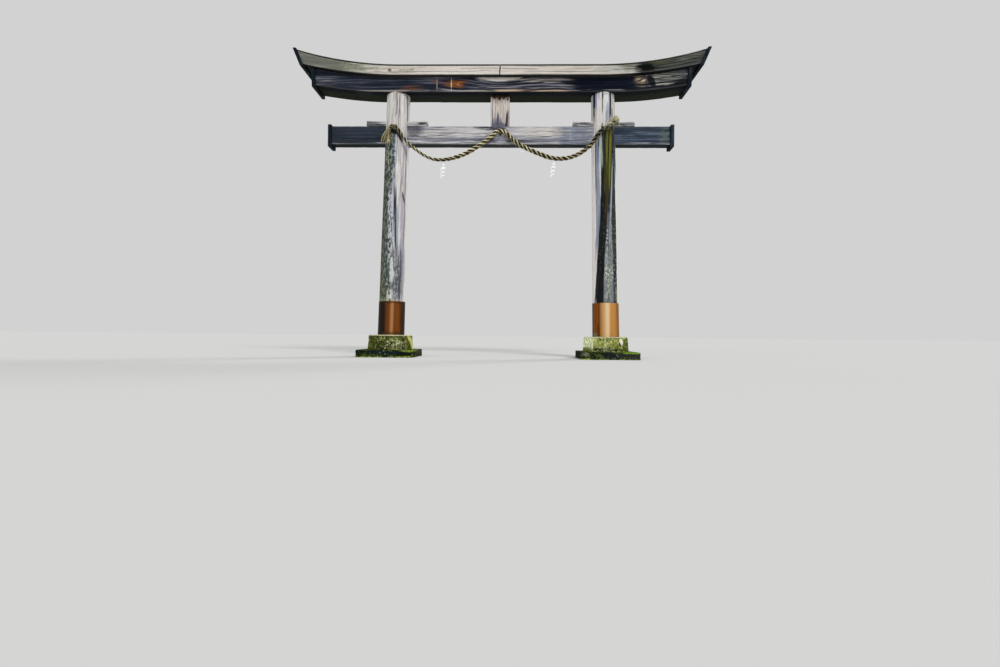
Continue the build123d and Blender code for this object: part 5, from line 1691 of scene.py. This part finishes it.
# Paper streamers: a narrow neck, then slanting folded panels and a thin tip
streamerLook = {
    "thick": 0.0009,
    "bend": (0.004, -0.008, -0.01, 0.002),      # how far back each corner lies, metres
    "sheets": [     # corners clockwise from the upper left, in metres from the middle and down, curl, shade
        ([(0.012, 0.0), (0.021, 0.0), (0.042, 0.09), (-0.008, 0.09)], 0.003, 0.0),
        ([(-0.016, 0.083), (0.06, 0.1), (0.052, 0.148), (-0.058, 0.176)], -0.008, 0.75),
        ([(-0.024, 0.16), (0.042, 0.182), (0.034, 0.228), (-0.06, 0.258)], -0.008, 0.85),
        ([(-0.03, 0.24), (0.036, 0.262), (0.02, 0.296), (-0.061, 0.342)], -0.008, 0.85),
        ([(-0.042, 0.322), (-0.014, 0.312), (-0.01, 0.376), (-0.018, 0.376)], 0.003, 0.5),
    ],
}


# Skin of one thin bent sheet between four corners, with shades under its upper edge and at its lower left
def sheetSkin(corners, curl, upperShade, lowerShade=0.0, along=7, down=7):
    a, b, c, d = np.array(corners, float)
    t, s = np.meshgrid(np.linspace(0, 1, down), np.linspace(0, 1, along), indexing="ij")
    dark = np.maximum(np.maximum(upperShade * (1 - t * 3.6), lowerShade * (t * 1.2 - s * 1.4)), 0.0).ravel()
    s, t = s.reshape(-1, 1), t.reshape(-1, 1)
    front = (a * (1 - s) + b * s) * (1 - t) + (d * (1 - s) + c * s) * t
    front += np.array((0, 1, 0)) * curl * np.sin(pi * s) * np.sin(pi * t)
    count = along * down
    faces = []
    for i in range(down - 1):
        for j in range(along - 1):
            k = i * along + j
            faces.append((k, k + 1, k + along + 1, k + along))
            faces.append((count + k, count + k + along, count + k + along + 1, count + k + 1))
    rim = list(range(along)) + [along * (i + 1) - 1 for i in range(1, down)]
    rim += [count - 1 - j for j in range(1, along)] + [along * i for i in range(down - 2, 0, -1)]
    faces += [(here, count + here, count + after, after) for here, after in zip(rim, rim[1:] + rim[:1])]
    points = np.concatenate([front, front + (0, streamerLook["thick"], 0)])
    return points, faces, {"grooveShade": np.tile(dark, 2)}


def makePaper(name, node, skins, material):
    return settle(makePiece(name, *joinSkins(skins), sharp=35), node, material)


def makeStreamer(side, look, material):
    low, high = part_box(f"paper_streamer_{side}")
    x, y, top = (low[0] + high[0]) / 2, (low[1] + high[1]) / 2, high[2] - 0.001
    skins = []
    for sheet, curl, shade in look["sheets"]:
        corners = [(x + across, y + back, top - down) for (across, down), back in zip(sheet, look["bend"])]
        skins.append(sheetSkin(corners, curl, shade))
    return makePaper(f"paperStreamer{side.capitalize()}", f"paper_streamer_{side}", skins, material)


paper = paperMaterial()
makeStreamer("left", streamerLook, paper)
makeStreamer("right", streamerLook, paper)

# A torn scrap caught on the rope: place across and up in its box, width, height and turn of each shred
scrapLook = [(0.5, 0.45, 0.045, 0.03, 0.4), (0.72, 0.3, 0.03, 0.022, -0.5), (0.25, 0.8, 0.022, 0.03, 0.9),
             (0.45, 0.85, 0.008, 0.05, 0.1)]


def makeScrap(shreds, material):
    low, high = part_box("paper_scrap")
    y = (low[1] + high[1]) / 2
    skins = []
    for shareX, shareZ, wide, tall, turn in shreds:
        x, z = low[0] + (high[0] - low[0]) * shareX, low[2] + (high[2] - low[2]) * shareZ
        corners = []
        for s, t in ((-0.5, 0.5), (0.5, 0.5), (0.5, -0.5), (-0.5, -0.5)):
            across = s * wide * cos(turn) - t * tall * sin(turn)
            rise = s * wide * sin(turn) + t * tall * cos(turn)
            height = min(max(z + rise, low[2] + 0.002), high[2] - 0.001)
            corners.append((x + across, y + 0.006 * sin(9 * shareX + 4 * s), height))
        skins.append(sheetSkin(corners, 0.005, 0.5, 0.3, along=5, down=4))
    return makePaper("paperScrap", "paper_scrap", skins, material)


makeScrap(scrapLook, paper)
print("paper made")

# Stage: a pale floor, a pale surround and soft lamps
stageLook = {"floorSize": 400.0, "floorColour": (0.65, 0.65, 0.64), "surround": 0.42, "background": 0.645}
lamps = {
    "keyLamp": {"from": (5.0, -9.0, 8.0), "power": 1.9, "soft": 22},
    "fillLamp": {"from": (-9.0, -7.0, 4.0), "power": 0.45, "soft": 50},
    "rimLamp": {"from": (9.0, 6.0, 7.0), "power": 1.1, "soft": 20},
}


def makeFloor(look):
    size = look["floorSize"]
    mesh = bpy.data.meshes.new("floor")
    corners = [(-size, -size, 0), (size, -size, 0), (size, size, 0), (-size, size, 0)]
    mesh.from_pydata(corners, [], [(0, 1, 2, 3)])
    material, tree, _ = newMaterial("paleFloor")
    shader = addNode(tree, "BsdfDiffuse", {"Color": look["floorColour"]})
    addNode(tree, "OutputMaterial", {0: shader.outputs[0]})
    mesh.materials.append(material)
    floor = addObject("floor", mesh)


def makeSurround(look):
    world = bpy.data.worlds.new("studio")
    bpy.context.scene.world = world
    world.use_nodes = True
    tree = world.node_tree
    tree.nodes.clear()
    path = addNode(tree, "LightPath").outputs
    seen = sums(tree, "MAXIMUM", path["Is Camera Ray"], path["Is Transmission Ray"])
    lit = addNode(tree, "Background", {"Color": (1, 1, 1), "Strength": look["surround"]}).outputs[0]
    shown = addNode(tree, "Background", {"Color": (look["background"],) * 3, "Strength": 1.0}).outputs[0]
    mixed = addNode(tree, "MixShader", {0: seen, 1: lit, 2: shown}).outputs[0]
    addNode(tree, "OutputWorld", {0: mixed})


def makeLamp(name, look):
    data = bpy.data.lights.new(name, "SUN")
    data.energy = look["power"]
    data.angle = radians(look["soft"])
    lamp = addObject(name, data)
    lamp.location = look["from"]
    lamp.rotation_euler = (-Vector(look["from"])).to_track_quat("-Z", "Y").to_euler()


makeFloor(stageLook)
makeSurround(stageLook)
for name, look in lamps.items():
    makeLamp(name, look)
print("stage made")
